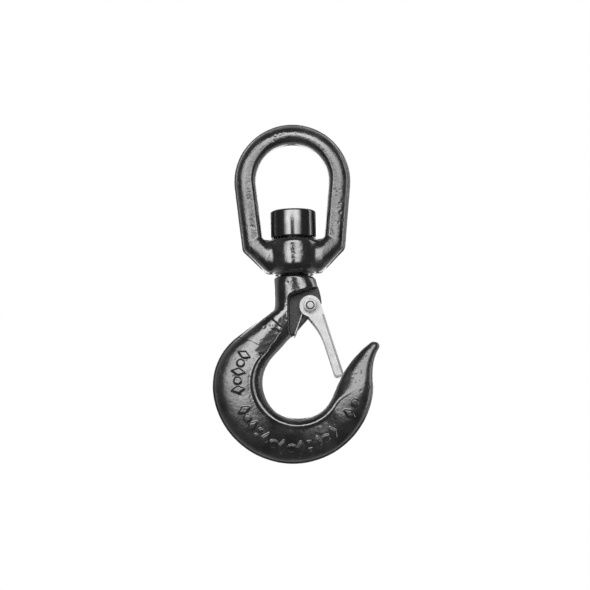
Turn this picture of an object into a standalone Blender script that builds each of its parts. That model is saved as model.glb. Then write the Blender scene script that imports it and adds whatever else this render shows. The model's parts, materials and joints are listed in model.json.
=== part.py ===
"""Swivel hook for lifting: a forged bail, a forged hook that turns in it, and a sprung latch.

Run with: blender --background --python part.py

Frame, in metres: the origin is the middle of the bail's inner crown, where a shackle or chain
link bears. The swivel axis is Z, +Z is up, +X points towards the hook's tip, and the object is
symmetric about the plane y = 0 except for the latch bolt. Outlines are drawn in the XZ plane
as (x, z), and angles are in degrees, anticlockwise from +X as seen from the front (-Y).
"""

import math

import bmesh
import bpy
from mathutils import Matrix, Vector
from mathutils.geometry import interpolate_bezier

# Running clearance that every piece keeps from its neighbours.
GAP = 0.0003

# How far a cutter reaches across the object, past every surface that it has to cut.
CUTTER_HALF_WIDTH = 0.012

# Bail: the eye's inner arc, the outer arc, and the two legs, which lean in towards the boss.
EYE_RADIUS = 0.0159
CROWN_RADIUS = 0.0254
CROWN_CENTRE_Z = -0.0163
LEG_LEAN = 5.9
FLOOR_Z = -0.0416
FLOOR_FILLET = 0.0022
LEG_FOOT = (0.0224, -0.0465)
BAIL_BOTTOM = (0.0120, -0.0570)
FOOT_FILLET = 0.0035
BAIL_THICKNESS = 0.0104
BAIL_FOOT_THICKNESS = 0.0150
BAIL_CREST = 0.27

# Boss of the bail, turned about the swivel axis.
BOSS_RADIUS = 0.0115
BOSS_ROUND = 0.0036
BOSS_TOP_ROUND = 0.0016
BOSS_FOOT_Z = -0.0566
BOSS_TOP_STEP = 22.5
BOSS_FOOT_STEP = 15.0
HUB_RADIUS = 0.0089
HUB_Z = -0.0574
BORE_RADIUS = 0.0065

# Collar that holds the shank up, and the pin that locks it.
COLLAR_RADIUS = 0.0102
COLLAR_TOP_Z = -0.0293
COLLAR_EDGE = 0.0008
PIN_RADIUS = 0.00125
PIN_CHAMFER = 0.0002
PIN_Z = -0.0350

# Hook shank, above the shoulder.
SHANK_END_RADIUS = 0.0060
SHANK_END_Z = -0.0300
JOURNAL_RADIUS = BORE_RADIUS - GAP
SHOULDER_RADIUS = 0.0091
SHOULDER_Z = -0.0586

# Hook outline. The neck's inner side runs down to the nose that carries the latch, then
# straight to the bowl. Its outer side runs down, bends, and meets the back.
NECK_NOSE = [(0.0096, -0.0595), (0.0104, -0.0632), (0.0113, -0.0670), (0.0117, -0.0701)]
NOSE_FILLET = 0.0012
NECK_OUTER = [(-0.0091, -0.0595), (-0.0089, -0.0632), (-0.0089, -0.0695)]
NECK_BEND_FILLET = 0.0045
BOWL_CENTRE = (0.0009, -0.10465)
BOWL_RADIUS = 0.01535
BOWL_START = 137.2
BOWL_END = 328.0
BACK_CENTRE = (-0.0016, -0.1046)
BACK_RADIUS = 0.0349
UPPER_BACK_RADIUS = 0.0268
BACK_MEETING = 187.0
UPPER_BACK_START = 125.8
BACK_END = 351.5

# Tip of the hook: where each side ends, the direction it ends in, and how far its handles reach.
TIP_INNER_END = (0.0316, -0.0882)
TIP_INNER_HEADING = 36.0
TIP_INNER_HANDLES = (0.0060, 0.0140)
TIP_OUTER_END = (0.0358, -0.0905)
TIP_OUTER_HEADING = 61.0
TIP_OUTER_HANDLES = (0.0050, 0.0088)
TIP_HEADING = 50.0
TIP_ROUND = 0.0024

# Pocket on each side of the neck, which leaves a thin cam between the latch's ears.
CAM_HALF_THICKNESS = 0.0028
POCKET_LEFT_X = -0.0024
POCKET_FOOT = (-0.0030, -0.0838)
POCKET_TOP_LEFT_Z = -0.0663
POCKET_TOP_RIGHT = (0.0150, -0.0622)
POCKET_FILLET = 0.0030
POCKET_MOUTH_REACH = 0.006
POCKET_MOUTH_HEADING = -60.0

# Latch: a stamped channel that closes the throat. Distances run along the blade from the
# pivot, and across it towards the outside.
PIVOT = (0.00655, -0.07175)
BLADE_LEAN = 16.7
EAR_RADIUS = 0.0046
BLADE_LENGTH = 0.0324
BLADE_OUTER = 0.00475
SHEET = 0.0012
FLANGE_HALF_WIDTH = 0.0069
WEB_START = 0.0056
WEB_END = 0.0298
LATCH_HOLE_RADIUS = 0.0018
BLADE_INNER = 0.00095
EAR_FOOT_TURN = 241.0
INNER_CURVE = [(0.0065, -0.0014), (0.0105, BLADE_INNER), (0.0170, BLADE_INNER)]

# Bolt and nut of the latch.
BOLT_RADIUS = 0.0015
NUT_FLATS = 0.0053
NUT_HEIGHT = 0.0024
HEAD_HEIGHT = 0.0020
BOLT_END_PROUD = 0.0006

# Latch spring: a wire with a coil on each side of the cam.
WIRE_RADIUS = 0.0004
COIL_RADIUS = 0.0022
COIL_INNER_Y = 0.0035
COIL_OUTER_Y = 0.0050
BRIDGE = (-0.00045, -0.0841)
SPRING_FOOT = (0.0090, 0.00285)
BRIDGE_FILLET = 0.0008

# Half thicknesses of the hook down its length, the place of its thickest line across the bowl,
# and how far that line stands over the web beside it.
NECK_HALF_THICKNESS = 0.0089
CHEEK_HALF_THICKNESS = 0.0076
BOWL_HALF_THICKNESS = 0.0080
THROAT_HALF_THICKNESS = 0.0066
BOWL_CREST = 0.21
BEAD = 0.0006

# How finely the forgings are drawn.
RING_STEPS = 13
SEGMENTS = 48
NECK_STEPS = 5
CHEEK_STEPS = 12
BOWL_STEPS = 24
TIP_STEPS = 14


def point(pair, y=0.0):
    """The 3D point at (x, z) in the XZ plane, moved along Y."""
    return Vector((pair[0], y, pair[1]))


def direction(degrees):
    """The unit vector at an angle in the XZ plane."""
    return point((math.cos(math.radians(degrees)), math.sin(math.radians(degrees))))


def blend(a, b, share):
    """The number or vector at a share of the way from a to b."""
    return a + (b - a) * share


def arc(centre, radius, start, end, steps):
    """Points along an arc, with both ends."""
    turn = (end - start) / steps
    return [point(centre) + radius * direction(start + turn * i) for i in range(steps + 1)]


def fillet(before, corner, after, radius, steps=4):
    """The points of a round of this radius between the straight sides that meet at a corner."""
    back = (before - corner).normalized()
    ahead = (after - corner).normalized()
    half = back.angle(ahead) / 2
    reach = radius / math.tan(half)
    middle = corner + (back + ahead).normalized() * (radius / math.sin(half))
    start = corner + back * reach - middle
    finish = corner + ahead * reach - middle
    turn = start.angle(finish)
    spread = [i / steps for i in range(steps + 1)]
    return [
        middle + (start * math.sin((1 - t) * turn) + finish * math.sin(t * turn)) / math.sin(turn)
        for t in spread
    ]


def spaced(path, steps):
    """The polyline's points at equal distances along it, with both ends."""
    reach = [0.0]
    for a, b in zip(path, path[1:]):
        reach.append(reach[-1] + (b - a).length)
    found = []
    for i in range(steps + 1):
        want = reach[-1] * i / steps
        j = max(k for k in range(len(path) - 1) if reach[k] <= want or k == 0)
        share = (want - reach[j]) / (reach[j + 1] - reach[j])
        found.append(blend(path[j], path[j + 1], min(share, 1.0)))
    return found


def section(inner, outer, half_thickness, crest=0.5, bead=0.0, inner_power=2.0, outer_power=2.0):
    """A ring of points round the bar, between its inner and outer edges.

    The bar is thickest at the crest, a share of the way from the inner edge to the outer one.
    Each side of the crest is a quarter of a superellipse, and the outer one starts lower by
    the bead.
    """
    profile = []
    for i in range(RING_STEPS + 1):
        share = i / RING_STEPS
        if share < 0.4:
            turn = math.radians(90 * share / 0.4)
            across = crest * (1 - math.cos(turn) ** (2 / inner_power))
            height = half_thickness * math.sin(turn) ** (2 / inner_power)
        else:
            turn = math.radians(90 * (share - 0.4) / 0.6)
            across = crest + (1 - crest) * math.sin(turn) ** (2 / outer_power)
            height = (half_thickness - bead) * max(math.cos(turn), 0.0) ** (2 / outer_power)
        profile.append((across, height))
    profile[-1] = (1.0, 0.0)
    front = [blend(inner, outer, a) - Vector((0, h, 0)) for a, h in profile]
    back = [blend(inner, outer, a) + Vector((0, h, 0)) for a, h in profile[1:-1]]
    return front + back[::-1]


def new_object(name, bm, collection, material=None):
    """An object of this name from a bmesh, with its faces turned outwards."""
    bmesh.ops.recalc_face_normals(bm, faces=bm.faces)
    mesh = bpy.data.meshes.new(name)
    bm.to_mesh(mesh)
    bm.free()
    mesh.shade_smooth()
    mesh.set_sharp_from_angle(angle=math.radians(35))
    piece = bpy.data.objects.new(name, mesh)
    collection.objects.link(piece)
    if material:
        mesh.materials.append(material)
    else:
        piece.hide_render = True
        piece.display_type = "WIRE"
    return piece


def loft(rings, capped=True):
    """A bmesh skin over rings of equal size, with its two ends filled if capped."""
    bm = bmesh.new()
    rows = [[bm.verts.new(p) for p in ring] for ring in rings]
    size = len(rings[0])
    for row, following in zip(rows, rows[1:]):
        for i in range(size):
            j = (i + 1) % size
            bm.faces.new((row[i], row[j], following[j], following[i]))
    if capped:
        bm.faces.new(rows[0])
        bm.faces.new(rows[-1])
    return bm


def turned(profile, steps=SEGMENTS):
    """A bmesh of the solid turned about Z from (radius, z) pairs, top to bottom."""
    rings = []
    for radius, z in profile:
        angles = [math.tau * i / steps for i in range(steps)]
        rings.append([Vector((radius * math.cos(a), radius * math.sin(a), z)) for a in angles])
    return loft(rings)


def prism(outline, low_y, high_y):
    """A bmesh of an XZ outline drawn out along Y."""
    bm = bmesh.new()
    front = bm.faces.new([bm.verts.new(Vector((p.x, low_y, p.z))) for p in outline])
    drawn = bmesh.ops.extrude_face_region(bm, geom=[front])
    moved = [g for g in drawn["geom"] if isinstance(g, bmesh.types.BMVert)]
    bmesh.ops.translate(bm, verts=moved, vec=(0, high_y - low_y, 0))
    return bm


def rod(radius, low_y, high_y, centre, steps=32):
    """A bmesh of a cylinder along Y through (x, z)."""
    bm = bmesh.new()
    middle = point(centre, (low_y + high_y) / 2)
    place = Matrix.Translation(middle) @ Matrix.Rotation(math.pi / 2, 4, "X")
    bmesh.ops.create_cone(
        bm, cap_ends=True, segments=steps, radius1=radius, radius2=radius,
        depth=high_y - low_y, matrix=place,
    )
    return bm


def boolean(piece, cutter, operation="DIFFERENCE"):
    """A Boolean modifier on the piece."""
    modifier = piece.modifiers.new(operation.title(), "BOOLEAN")
    modifier.object = cutter
    modifier.operation = operation
    modifier.solver = "EXACT"


def make_material(name, colour, roughness, metallic):
    """A Principled material."""
    material = bpy.data.materials.new(name)
    material.use_nodes = True
    shader = material.node_tree.nodes["Principled BSDF"]
    shader.inputs["Base Color"].default_value = (*colour, 1.0)
    shader.inputs["Roughness"].default_value = roughness
    shader.inputs["Metallic"].default_value = metallic
    return material


def bail_rings():
    """Sections of the bail's right half, from the crown round the leg to the swivel axis."""
    eye_centre = (0.0, -EYE_RADIUS)
    crown_centre = (0.0, CROWN_CENTRE_Z)
    inner_leg = point(eye_centre) + EYE_RADIUS * direction(-LEG_LEAN)
    outer_leg = point(crown_centre) + CROWN_RADIUS * direction(-LEG_LEAN)
    floor_z = FLOOR_Z - GAP
    drop = (inner_leg.z - floor_z) * math.tan(math.radians(LEG_LEAN))
    inner_corner = point((inner_leg.x - drop, floor_z))
    floor_round = fillet(inner_leg, inner_corner, point((0, floor_z)), FLOOR_FILLET, 6)
    foot, bottom = point(LEG_FOOT), point(BAIL_BOTTOM)
    foot_round = fillet(outer_leg, foot, bottom, FOOT_FILLET, 4)
    bottom_round = fillet(foot, bottom, point((0, BAIL_BOTTOM[1])), FOOT_FILLET, 4)
    spans = [
        (arc(eye_centre, EYE_RADIUS, 90, -LEG_LEAN, 24),
         arc(crown_centre, CROWN_RADIUS, 90, -LEG_LEAN, 24), 13),
        ([inner_leg, floor_round[0]], [outer_leg, foot_round[0]], 3),
        (floor_round, foot_round + bottom_round, 9),
        ([floor_round[-1], point((0, floor_z))],
         [bottom_round[-1], point((0, BAIL_BOTTOM[1]))], 3),
    ]
    start_width, end_width = BAIL_THICKNESS / 2, BAIL_FOOT_THICKNESS / 2
    rings = []
    for number, (inner, outer, steps) in enumerate(spans):
        pairs = list(zip(spaced(inner, steps), spaced(outer, steps)))
        for i, (a, b) in enumerate(pairs[1 if number else 0:]):
            share = (i + 1) / steps if number == 2 else float(number == 3)
            width = blend(start_width, end_width, share)
            crest = blend(BAIL_CREST, 0.5, share)
            rings.append(section(a, b, width, crest, 0.0, 2.2, 3.0))
    return rings


def boss_profile():
    """(radius, z) pairs of the boss: its rounded top rim, its rounded foot and its hub."""
    shoulder, corner = [], []
    for i in range(5):
        turn = math.radians(BOSS_TOP_STEP * i)
        radius = BOSS_RADIUS - BOSS_TOP_ROUND * (1 - math.sin(turn))
        shoulder.append((radius, FLOOR_Z - BOSS_TOP_ROUND * (1 - math.cos(turn))))
        turn = math.radians(BOSS_FOOT_STEP * i)
        radius = BOSS_RADIUS - BOSS_ROUND * (1 - math.cos(turn))
        corner.append((radius, BOSS_FOOT_Z + BOSS_ROUND * (1 - math.sin(turn))))
    hub = [(HUB_RADIUS, BOSS_FOOT_Z), (HUB_RADIUS, HUB_Z + GAP), (HUB_RADIUS - GAP, HUB_Z)]
    return shoulder + corner + hub


def make_bail(parts, cutters, steel):
    """The forged eye, one half mirrored, joined to its turned boss and bored for the shank."""
    bail = new_object("bail", loft(bail_rings(), capped=False), parts, steel)
    mirror = bail.modifiers.new("Mirror", "MIRROR")
    mirror.merge_threshold = 0.00005
    boss = new_object("boss_shape", turned(boss_profile()), cutters)
    bore = turned([(BORE_RADIUS, COLLAR_TOP_Z), (BORE_RADIUS, HUB_Z - CUTTER_HALF_WIDTH)])
    boolean(bail, boss, "UNION")
    boolean(bail, new_object("bore_cutter", bore, cutters))


def upper_back_centre():
    """The centre of the arc above the back, which meets the back's own arc without a corner."""
    return point(BACK_CENTRE) + (BACK_RADIUS - UPPER_BACK_RADIUS) * direction(BACK_MEETING)


def along_ray(centre, radius, angle):
    """Where the ray from the bowl's centre at this angle leaves a circle."""
    ray = direction(angle)
    offset = point(BOWL_CENTRE) - centre
    middle = offset.dot(ray)
    reach = math.sqrt(middle**2 - offset.length_squared + radius**2) - middle
    return point(BOWL_CENTRE) + reach * ray


def outer_at(angle):
    """The hook's outer edge on the ray from the bowl's centre at this angle."""
    upper = along_ray(upper_back_centre(), UPPER_BACK_RADIUS, angle)
    offset = upper - point(BACK_CENTRE)
    turned_by = math.degrees(math.atan2(offset.z, offset.x)) % 360
    if turned_by < BACK_MEETING:
        return upper
    return along_ray(point(BACK_CENTRE), BACK_RADIUS, angle)


def neck_pairs():
    """(inner, outer) edge points down the neck and along the cheek to the bowl."""
    bowl_top = point(BOWL_CENTRE) + BOWL_RADIUS * direction(BOWL_START)
    slope_start = upper_back_centre() + UPPER_BACK_RADIUS * direction(UPPER_BACK_START)
    slope = direction(UPPER_BACK_START - 90)
    split = point(NECK_OUTER[-1])
    bend = slope_start + slope * ((split.x - slope_start.x) / slope.x)
    nose_round = fillet(point(NECK_NOSE[-2]), point(NECK_NOSE[-1]), bowl_top, NOSE_FILLET, 4)
    neck_inner = [point(p) for p in NECK_NOSE[:-1]] + nose_round[:1]
    neck_outer = [point(p) for p in NECK_OUTER]
    cheek_inner = nose_round + [bowl_top]
    cheek_outer = [split] + fillet(split, bend, slope_start, NECK_BEND_FILLET, 6)
    cheek_outer.append(outer_at(BOWL_START))
    pairs = list(zip(spaced(neck_inner, NECK_STEPS), spaced(neck_outer, NECK_STEPS)))
    return pairs + list(zip(spaced(cheek_inner, CHEEK_STEPS), spaced(cheek_outer, CHEEK_STEPS)))[1:]


def bowl_pairs():
    """(inner, outer) edge points round the bowl, on rays from its centre."""
    turn = (BOWL_END - BOWL_START) / BOWL_STEPS
    angles = [BOWL_START + turn * (i + 1) for i in range(BOWL_STEPS)]
    return [(point(BOWL_CENTRE) + BOWL_RADIUS * direction(a), outer_at(a)) for a in angles]


def tip_side(start, start_heading, end, end_heading, handles, steps):
    """A curve from the bowl to the tip, with its direction at each end."""
    first = start + handles[0] * direction(start_heading)
    last = point(end) - handles[1] * direction(end_heading)
    return spaced(interpolate_bezier(start, first, last, point(end), 40), steps)


def tip_pairs():
    """(inner, outer) edge points from the bowl to the start of the tip's round end."""
    inner_start = point(BOWL_CENTRE) + BOWL_RADIUS * direction(BOWL_END)
    outer_start = outer_at(BOWL_END)
    offset = outer_start - point(BACK_CENTRE)
    outer_angle = math.degrees(math.atan2(offset.z, offset.x)) % 360
    back = arc(BACK_CENTRE, BACK_RADIUS, outer_angle, BACK_END, 12)
    inner = tip_side(
        inner_start, BOWL_END + 90, TIP_INNER_END, TIP_INNER_HEADING, TIP_INNER_HANDLES, TIP_STEPS
    )
    outer = tip_side(
        back[-1], BACK_END + 90, TIP_OUTER_END, TIP_OUTER_HEADING, TIP_OUTER_HANDLES, 30
    )
    return list(zip(inner, spaced(back + outer[1:], TIP_STEPS)))[1:]


def hook_rings():
    """Every section of the hook, from the top of its shank to its tip."""
    shank = [
        (SHANK_END_RADIUS - COLLAR_EDGE, SHANK_END_Z),
        (SHANK_END_RADIUS, SHANK_END_Z - COLLAR_EDGE),
        (SHANK_END_RADIUS, FLOOR_Z + GAP),
        (JOURNAL_RADIUS, FLOOR_Z - GAP),
        (JOURNAL_RADIUS, SHOULDER_Z),
        (SHOULDER_RADIUS - COLLAR_EDGE, SHOULDER_Z),
    ]
    rings = [section(point((r, z)), point((-r, z)), r) for r, z in shank]
    neck, bowl, tip = neck_pairs(), bowl_pairs(), tip_pairs()
    for i, (a, b) in enumerate(neck):
        share = max(0.0, (i - NECK_STEPS) / CHEEK_STEPS)
        power = blend(2.0, 3.4, share)
        width = blend(NECK_HALF_THICKNESS, CHEEK_HALF_THICKNESS, share)
        rings.append(section(a, b, width, blend(0.5, BOWL_CREST, share), 0.0, 2.0, power))
    for i, (a, b) in enumerate(bowl):
        share = (i + 1) / BOWL_STEPS
        swell = math.sin(math.pi * share) * (BOWL_HALF_THICKNESS - CHEEK_HALF_THICKNESS)
        width = blend(CHEEK_HALF_THICKNESS, THROAT_HALF_THICKNESS, share) + swell
        rings.append(section(a, b, width, BOWL_CREST, BEAD * math.sin(math.pi * share), 2.0, 3.4))
    for i, (a, b) in enumerate(tip):
        share = (i + 1) / TIP_STEPS
        width = blend(THROAT_HALF_THICKNESS, TIP_ROUND, share)
        crest = blend(BOWL_CREST, 0.5, min(1.0, 1.4 * share))
        rings.append(section(a, b, width, crest, 0.0, 2.0, blend(3.4, 2.0, share)))
    inner, outer = tip[-1]
    for turn in (25, 50, 70, 83):
        left = math.cos(math.radians(turn))
        ahead = TIP_ROUND * math.sin(math.radians(turn)) * direction(TIP_HEADING)
        middle = (inner + outer) / 2 + ahead
        half = (inner - outer) / 2 * left
        rings.append(section(middle + half, middle - half, TIP_ROUND * left))
    return rings


def pocket_outline():
    """The pocket seen from the front: closed at the left and top, open at the nose and below."""
    top_left = point((POCKET_LEFT_X, POCKET_TOP_LEFT_Z))
    foot = point(POCKET_FOOT)
    top_right = point(POCKET_TOP_RIGHT)
    corner = fillet(foot, top_left, top_right, POCKET_FILLET, 6)
    below = foot + POCKET_MOUTH_REACH * direction(POCKET_MOUTH_HEADING)
    return [foot, *corner, top_right, point((top_right.x, below.z)), below]


def make_hook(parts, cutters, steel):
    """The forged hook, with its latch pocket, bolt hole and the hole for the lock pin."""
    hook = new_object("hook", loft(hook_rings()), parts, steel)
    bolt_hole = rod(BOLT_RADIUS + GAP, -CUTTER_HALF_WIDTH, CUTTER_HALF_WIDTH, PIVOT)
    shapes = {
        "pocket_front_cutter": prism(pocket_outline(), -CUTTER_HALF_WIDTH, -CAM_HALF_THICKNESS),
        "pocket_back_cutter": prism(pocket_outline(), CAM_HALF_THICKNESS, CUTTER_HALF_WIDTH),
        "bolt_hole_cutter": bolt_hole,
        "pin_hole_cutter": cross_pin(PIN_RADIUS + GAP, 2 * COLLAR_RADIUS),
    }
    for name, shape in shapes.items():
        boolean(hook, new_object(name, shape, cutters))


def cross_pin(radius, length):
    """A bmesh of a cylinder along X through the collar."""
    bm = bmesh.new()
    place = Matrix.Translation((0, 0, PIN_Z)) @ Matrix.Rotation(math.pi / 2, 4, "Y")
    bmesh.ops.create_cone(
        bm, cap_ends=True, segments=24, radius1=radius, radius2=radius, depth=length, matrix=place
    )
    return bm


def make_collar(parts, cutters, steel):
    """The collar on the shank's end, which carries the load onto the bail's boss."""
    foot_z = FLOOR_Z + GAP
    profile = [
        (COLLAR_RADIUS - COLLAR_EDGE, COLLAR_TOP_Z),
        (COLLAR_RADIUS - GAP, COLLAR_TOP_Z - GAP),
        (COLLAR_RADIUS, COLLAR_TOP_Z - COLLAR_EDGE),
        (COLLAR_RADIUS, foot_z + GAP),
        (COLLAR_RADIUS - GAP, foot_z),
    ]
    collar = new_object("collar", turned(profile), parts, steel)
    bore_radius = SHANK_END_RADIUS + GAP
    bore = turned([(bore_radius, COLLAR_TOP_Z + GAP), (bore_radius, foot_z - GAP)])
    boolean(collar, new_object("collar_bore_cutter", bore, cutters))
    boolean(collar, bpy.data.objects["pin_hole_cutter"])


def make_lock_pin(parts, steel):
    """The pin driven across the collar and the shank."""
    length = 2 * (COLLAR_RADIUS - COLLAR_EDGE)
    pin = new_object("collar_lock_pin", cross_pin(PIN_RADIUS, length), parts, steel)
    edge = pin.modifiers.new("Bevel", "BEVEL")
    edge.width = PIN_CHAMFER
    edge.limit_method = "ANGLE"


def on_blade(along, across):
    """The point at these distances along and across the closed latch, from its pivot."""
    down = direction(BLADE_LEAN - 90)
    out = direction(BLADE_LEAN)
    return point(PIVOT) + along * down + across * out


def latch_outline():
    """The side of the latch: a round ear, and a blade that narrows below it."""
    ear = arc(PIVOT, EAR_RADIUS, BLADE_LEAN, BLADE_LEAN + EAR_FOOT_TURN, 20)
    handles = [on_blade(a, b) for a, b in INNER_CURVE]
    curve = interpolate_bezier(ear[-1], *handles, 10)[1:]
    end_corner = on_blade(BLADE_LENGTH, BLADE_INNER)
    outer_end = on_blade(BLADE_LENGTH, BLADE_OUTER)
    end = fillet(handles[-1], end_corner, outer_end, SHEET, 4)
    step = on_blade(WEB_START - SHEET / 2, BLADE_OUTER)
    return ear + curve + end + [outer_end, step]


def make_latch(parts, cutters, zinc):
    """The latch, cut from a solid of its outline: what is left is two flanges and a web.

    Its origin is on the bolt's axis, which it turns about.
    """
    solid = prism(latch_outline(), -FLANGE_HALF_WIDTH, FLANGE_HALF_WIDTH)
    bmesh.ops.translate(solid, verts=solid.verts, vec=-point(PIVOT))
    latch = new_object("latch", solid, parts, zinc)
    latch.location = point(PIVOT)
    far = 2 * BLADE_LENGTH
    web_inner = BLADE_OUTER - SHEET
    hollow = [(-far, far), (WEB_START, far), (WEB_START, web_inner), (WEB_END, web_inner),
              (WEB_END, far), (far, far), (far, -far), (-far, -far)]
    inside = FLANGE_HALF_WIDTH - SHEET
    shapes = {
        "latch_hollow_cutter": prism([on_blade(a, b) for a, b in hollow], -inside, inside),
        "latch_hole_cutter": rod(LATCH_HOLE_RADIUS, -CUTTER_HALF_WIDTH, CUTTER_HALF_WIDTH, PIVOT),
    }
    for name, shape in shapes.items():
        boolean(latch, new_object(name, shape, cutters))


def hexagon(flats, low_y, high_y):
    """A bmesh of a hexagonal prism along Y on the latch's pivot, one corner up."""
    radius = flats / math.sqrt(3)
    return prism([point(PIVOT) + radius * direction(90 + 60 * i) for i in range(6)], low_y, high_y)


def make_bolt(parts, cutters, zinc):
    """The bolt that the latch turns on, with its head at the back."""
    ear_y = FLANGE_HALF_WIDTH + GAP
    nut_y = ear_y + NUT_HEIGHT + BOLT_END_PROUD
    bolt = new_object("latch_bolt", rod(BOLT_RADIUS, -nut_y, ear_y + GAP, PIVOT), parts, zinc)
    head = new_object("bolt_head_shape", hexagon(NUT_FLATS, ear_y, ear_y + HEAD_HEIGHT), cutters)
    boolean(bolt, head, "UNION")


def make_nut(parts, cutters, zinc):
    """The nut on the front of the bolt."""
    ear_y = FLANGE_HALF_WIDTH + GAP
    nut = new_object("latch_nut", hexagon(NUT_FLATS, -ear_y - NUT_HEIGHT, -ear_y), parts, zinc)
    hole = rod(BOLT_RADIUS + GAP, -CUTTER_HALF_WIDTH, 0.0, PIVOT)
    boolean(nut, new_object("nut_hole_cutter", hole, cutters))


def tangent_angle(target, side):
    """The angle round the pivot at which a straight wire leaves the coil for a target."""
    offset = target - point(PIVOT)
    towards = math.degrees(math.atan2(offset.z, offset.x))
    return towards + side * math.degrees(math.acos(COIL_RADIUS / offset.length))


def spring_half():
    """The wire's centre line behind the cam, from the bridge to the end under the latch's web."""
    bridge, foot = point(BRIDGE), on_blade(*SPRING_FOOT)
    start = tangent_angle(bridge, -1)
    end = tangent_angle(foot, 1)
    sweep = (start - end) % 360 + 360
    steps = 28
    coil = []
    for i in range(steps + 1):
        share = i / steps
        spot = COIL_RADIUS * direction(start - sweep * share)
        coil.append(point(PIVOT, blend(COIL_INNER_Y, COIL_OUTER_Y, share)) + spot)
    corner = point(BRIDGE, COIL_INNER_Y)
    turn = fillet(point(BRIDGE), corner, coil[0], BRIDGE_FILLET, 4)
    return [*turn, *coil, foot + Vector((0, COIL_OUTER_Y, 0))]


def make_spring(parts, wire):
    """The latch spring, one bent wire, drawn as a tube along its centre line."""
    half = spring_half()
    path = [Vector((p.x, -p.y, p.z)) for p in half[::-1]] + half
    curve = bpy.data.curves.new("latch_spring", "CURVE")
    curve.dimensions = "3D"
    curve.bevel_depth = WIRE_RADIUS
    curve.bevel_resolution = 2
    curve.use_fill_caps = True
    line = curve.splines.new("POLY")
    line.points.add(len(path) - 1)
    for spot, place in zip(line.points, path):
        spot.co = (*place, 1.0)
    curve.materials.append(wire)
    parts.objects.link(bpy.data.objects.new("latch_spring", curve))


def main():
    """Clears the file and builds the swivel hook."""
    for old in list(bpy.data.objects):
        bpy.data.objects.remove(old, do_unlink=True)
    parts = bpy.data.collections.new("swivel_hook")
    cutters = bpy.data.collections.new("cutters")
    bpy.context.scene.collection.children.link(parts)
    bpy.context.scene.collection.children.link(cutters)
    make_bail(parts, cutters, make_material("bail_paint", (0.020, 0.020, 0.021), 0.28, 0.0))
    make_hook(parts, cutters, make_material("hook_paint", (0.018, 0.018, 0.019), 0.25, 0.0))
    make_collar(parts, cutters, make_material("collar_paint", (0.022, 0.022, 0.023), 0.22, 0.0))
    make_lock_pin(parts, make_material("pin_steel", (0.10, 0.10, 0.11), 0.40, 1.0))
    make_latch(parts, cutters, make_material("latch_zinc", (0.80, 0.81, 0.83), 0.30, 1.0))
    make_bolt(parts, cutters, make_material("bolt_zinc", (0.72, 0.73, 0.75), 0.35, 1.0))
    make_nut(parts, cutters, make_material("nut_zinc", (0.75, 0.76, 0.78), 0.33, 1.0))
    make_spring(parts, make_material("spring_wire", (0.62, 0.63, 0.65), 0.30, 1.0))


main()
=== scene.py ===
import json
import math
import random

import bmesh
import bpy
import numpy as np
from mathutils import Matrix, Vector, noise
from mathutils.geometry import interpolate_bezier


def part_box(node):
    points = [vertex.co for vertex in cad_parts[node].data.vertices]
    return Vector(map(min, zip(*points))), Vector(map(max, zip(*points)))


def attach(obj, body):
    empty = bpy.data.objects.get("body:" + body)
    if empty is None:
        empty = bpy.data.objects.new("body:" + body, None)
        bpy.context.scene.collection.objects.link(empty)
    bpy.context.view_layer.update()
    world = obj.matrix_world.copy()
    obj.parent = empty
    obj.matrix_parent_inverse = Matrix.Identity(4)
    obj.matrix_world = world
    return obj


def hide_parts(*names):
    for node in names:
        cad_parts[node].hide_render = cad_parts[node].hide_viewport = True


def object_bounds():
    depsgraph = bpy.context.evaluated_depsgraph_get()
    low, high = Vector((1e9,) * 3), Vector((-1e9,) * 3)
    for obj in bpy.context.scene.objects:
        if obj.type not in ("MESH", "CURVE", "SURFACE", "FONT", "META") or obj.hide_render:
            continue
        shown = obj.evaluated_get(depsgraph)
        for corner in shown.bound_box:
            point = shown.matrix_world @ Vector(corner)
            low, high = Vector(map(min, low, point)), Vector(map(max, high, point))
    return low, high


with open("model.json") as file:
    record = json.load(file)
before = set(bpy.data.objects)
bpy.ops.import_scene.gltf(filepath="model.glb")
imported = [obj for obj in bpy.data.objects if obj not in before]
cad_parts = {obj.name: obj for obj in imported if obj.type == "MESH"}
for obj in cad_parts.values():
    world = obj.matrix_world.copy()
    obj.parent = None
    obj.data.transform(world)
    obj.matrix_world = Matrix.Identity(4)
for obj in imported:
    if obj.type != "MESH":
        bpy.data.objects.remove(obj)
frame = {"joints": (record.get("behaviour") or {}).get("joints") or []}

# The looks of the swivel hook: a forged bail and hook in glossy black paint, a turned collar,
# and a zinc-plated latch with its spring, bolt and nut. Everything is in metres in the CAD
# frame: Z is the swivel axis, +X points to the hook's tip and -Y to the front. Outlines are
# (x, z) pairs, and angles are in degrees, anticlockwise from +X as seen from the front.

CAD_LOW, CAD_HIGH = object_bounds()
GAP = 0.0003

# Bail: the eye, the crown, the legs and the boss. The outlines are the CAD model's. The steps
# count the sections of each part, and SWELL_START those of the leg before it swells.
EYE_RADIUS = 0.0159
CROWN_RADIUS = 0.0254
CROWN_CENTRE_Z = -0.0163
LEG_LEAN = 5.9
FLOOR_Z = -0.0416
FLOOR_FILLET = 0.0022
LEG_FOOT = (0.0224, -0.0465)
BAIL_BOTTOM = (0.0120, -0.0570)
FOOT_FILLET = 0.0035
BAIL_HALF = 0.0052
BAIL_FOOT_HALF = 0.0075
BAIL_CREST = 0.25
CROWN_CREST = 0.42
BAIL_INNER_POWER = 2.2
BAIL_OUTER_POWERS = (3.0, 2.1)
CROWN_STEPS = 90
LEG_STEPS = 56
FOOT_STEPS = 48
SWELL_START = 54
BAIL_VOXEL = 0.00034
BOSS_BLEND = (0.0030, 0.0008)
BOSS_BLEND_DEPTHS = (0.0115, 0.0098)
BOSS_BLEND_ROUNDS = 60
BOSS_RADIUS = 0.0115
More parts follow.
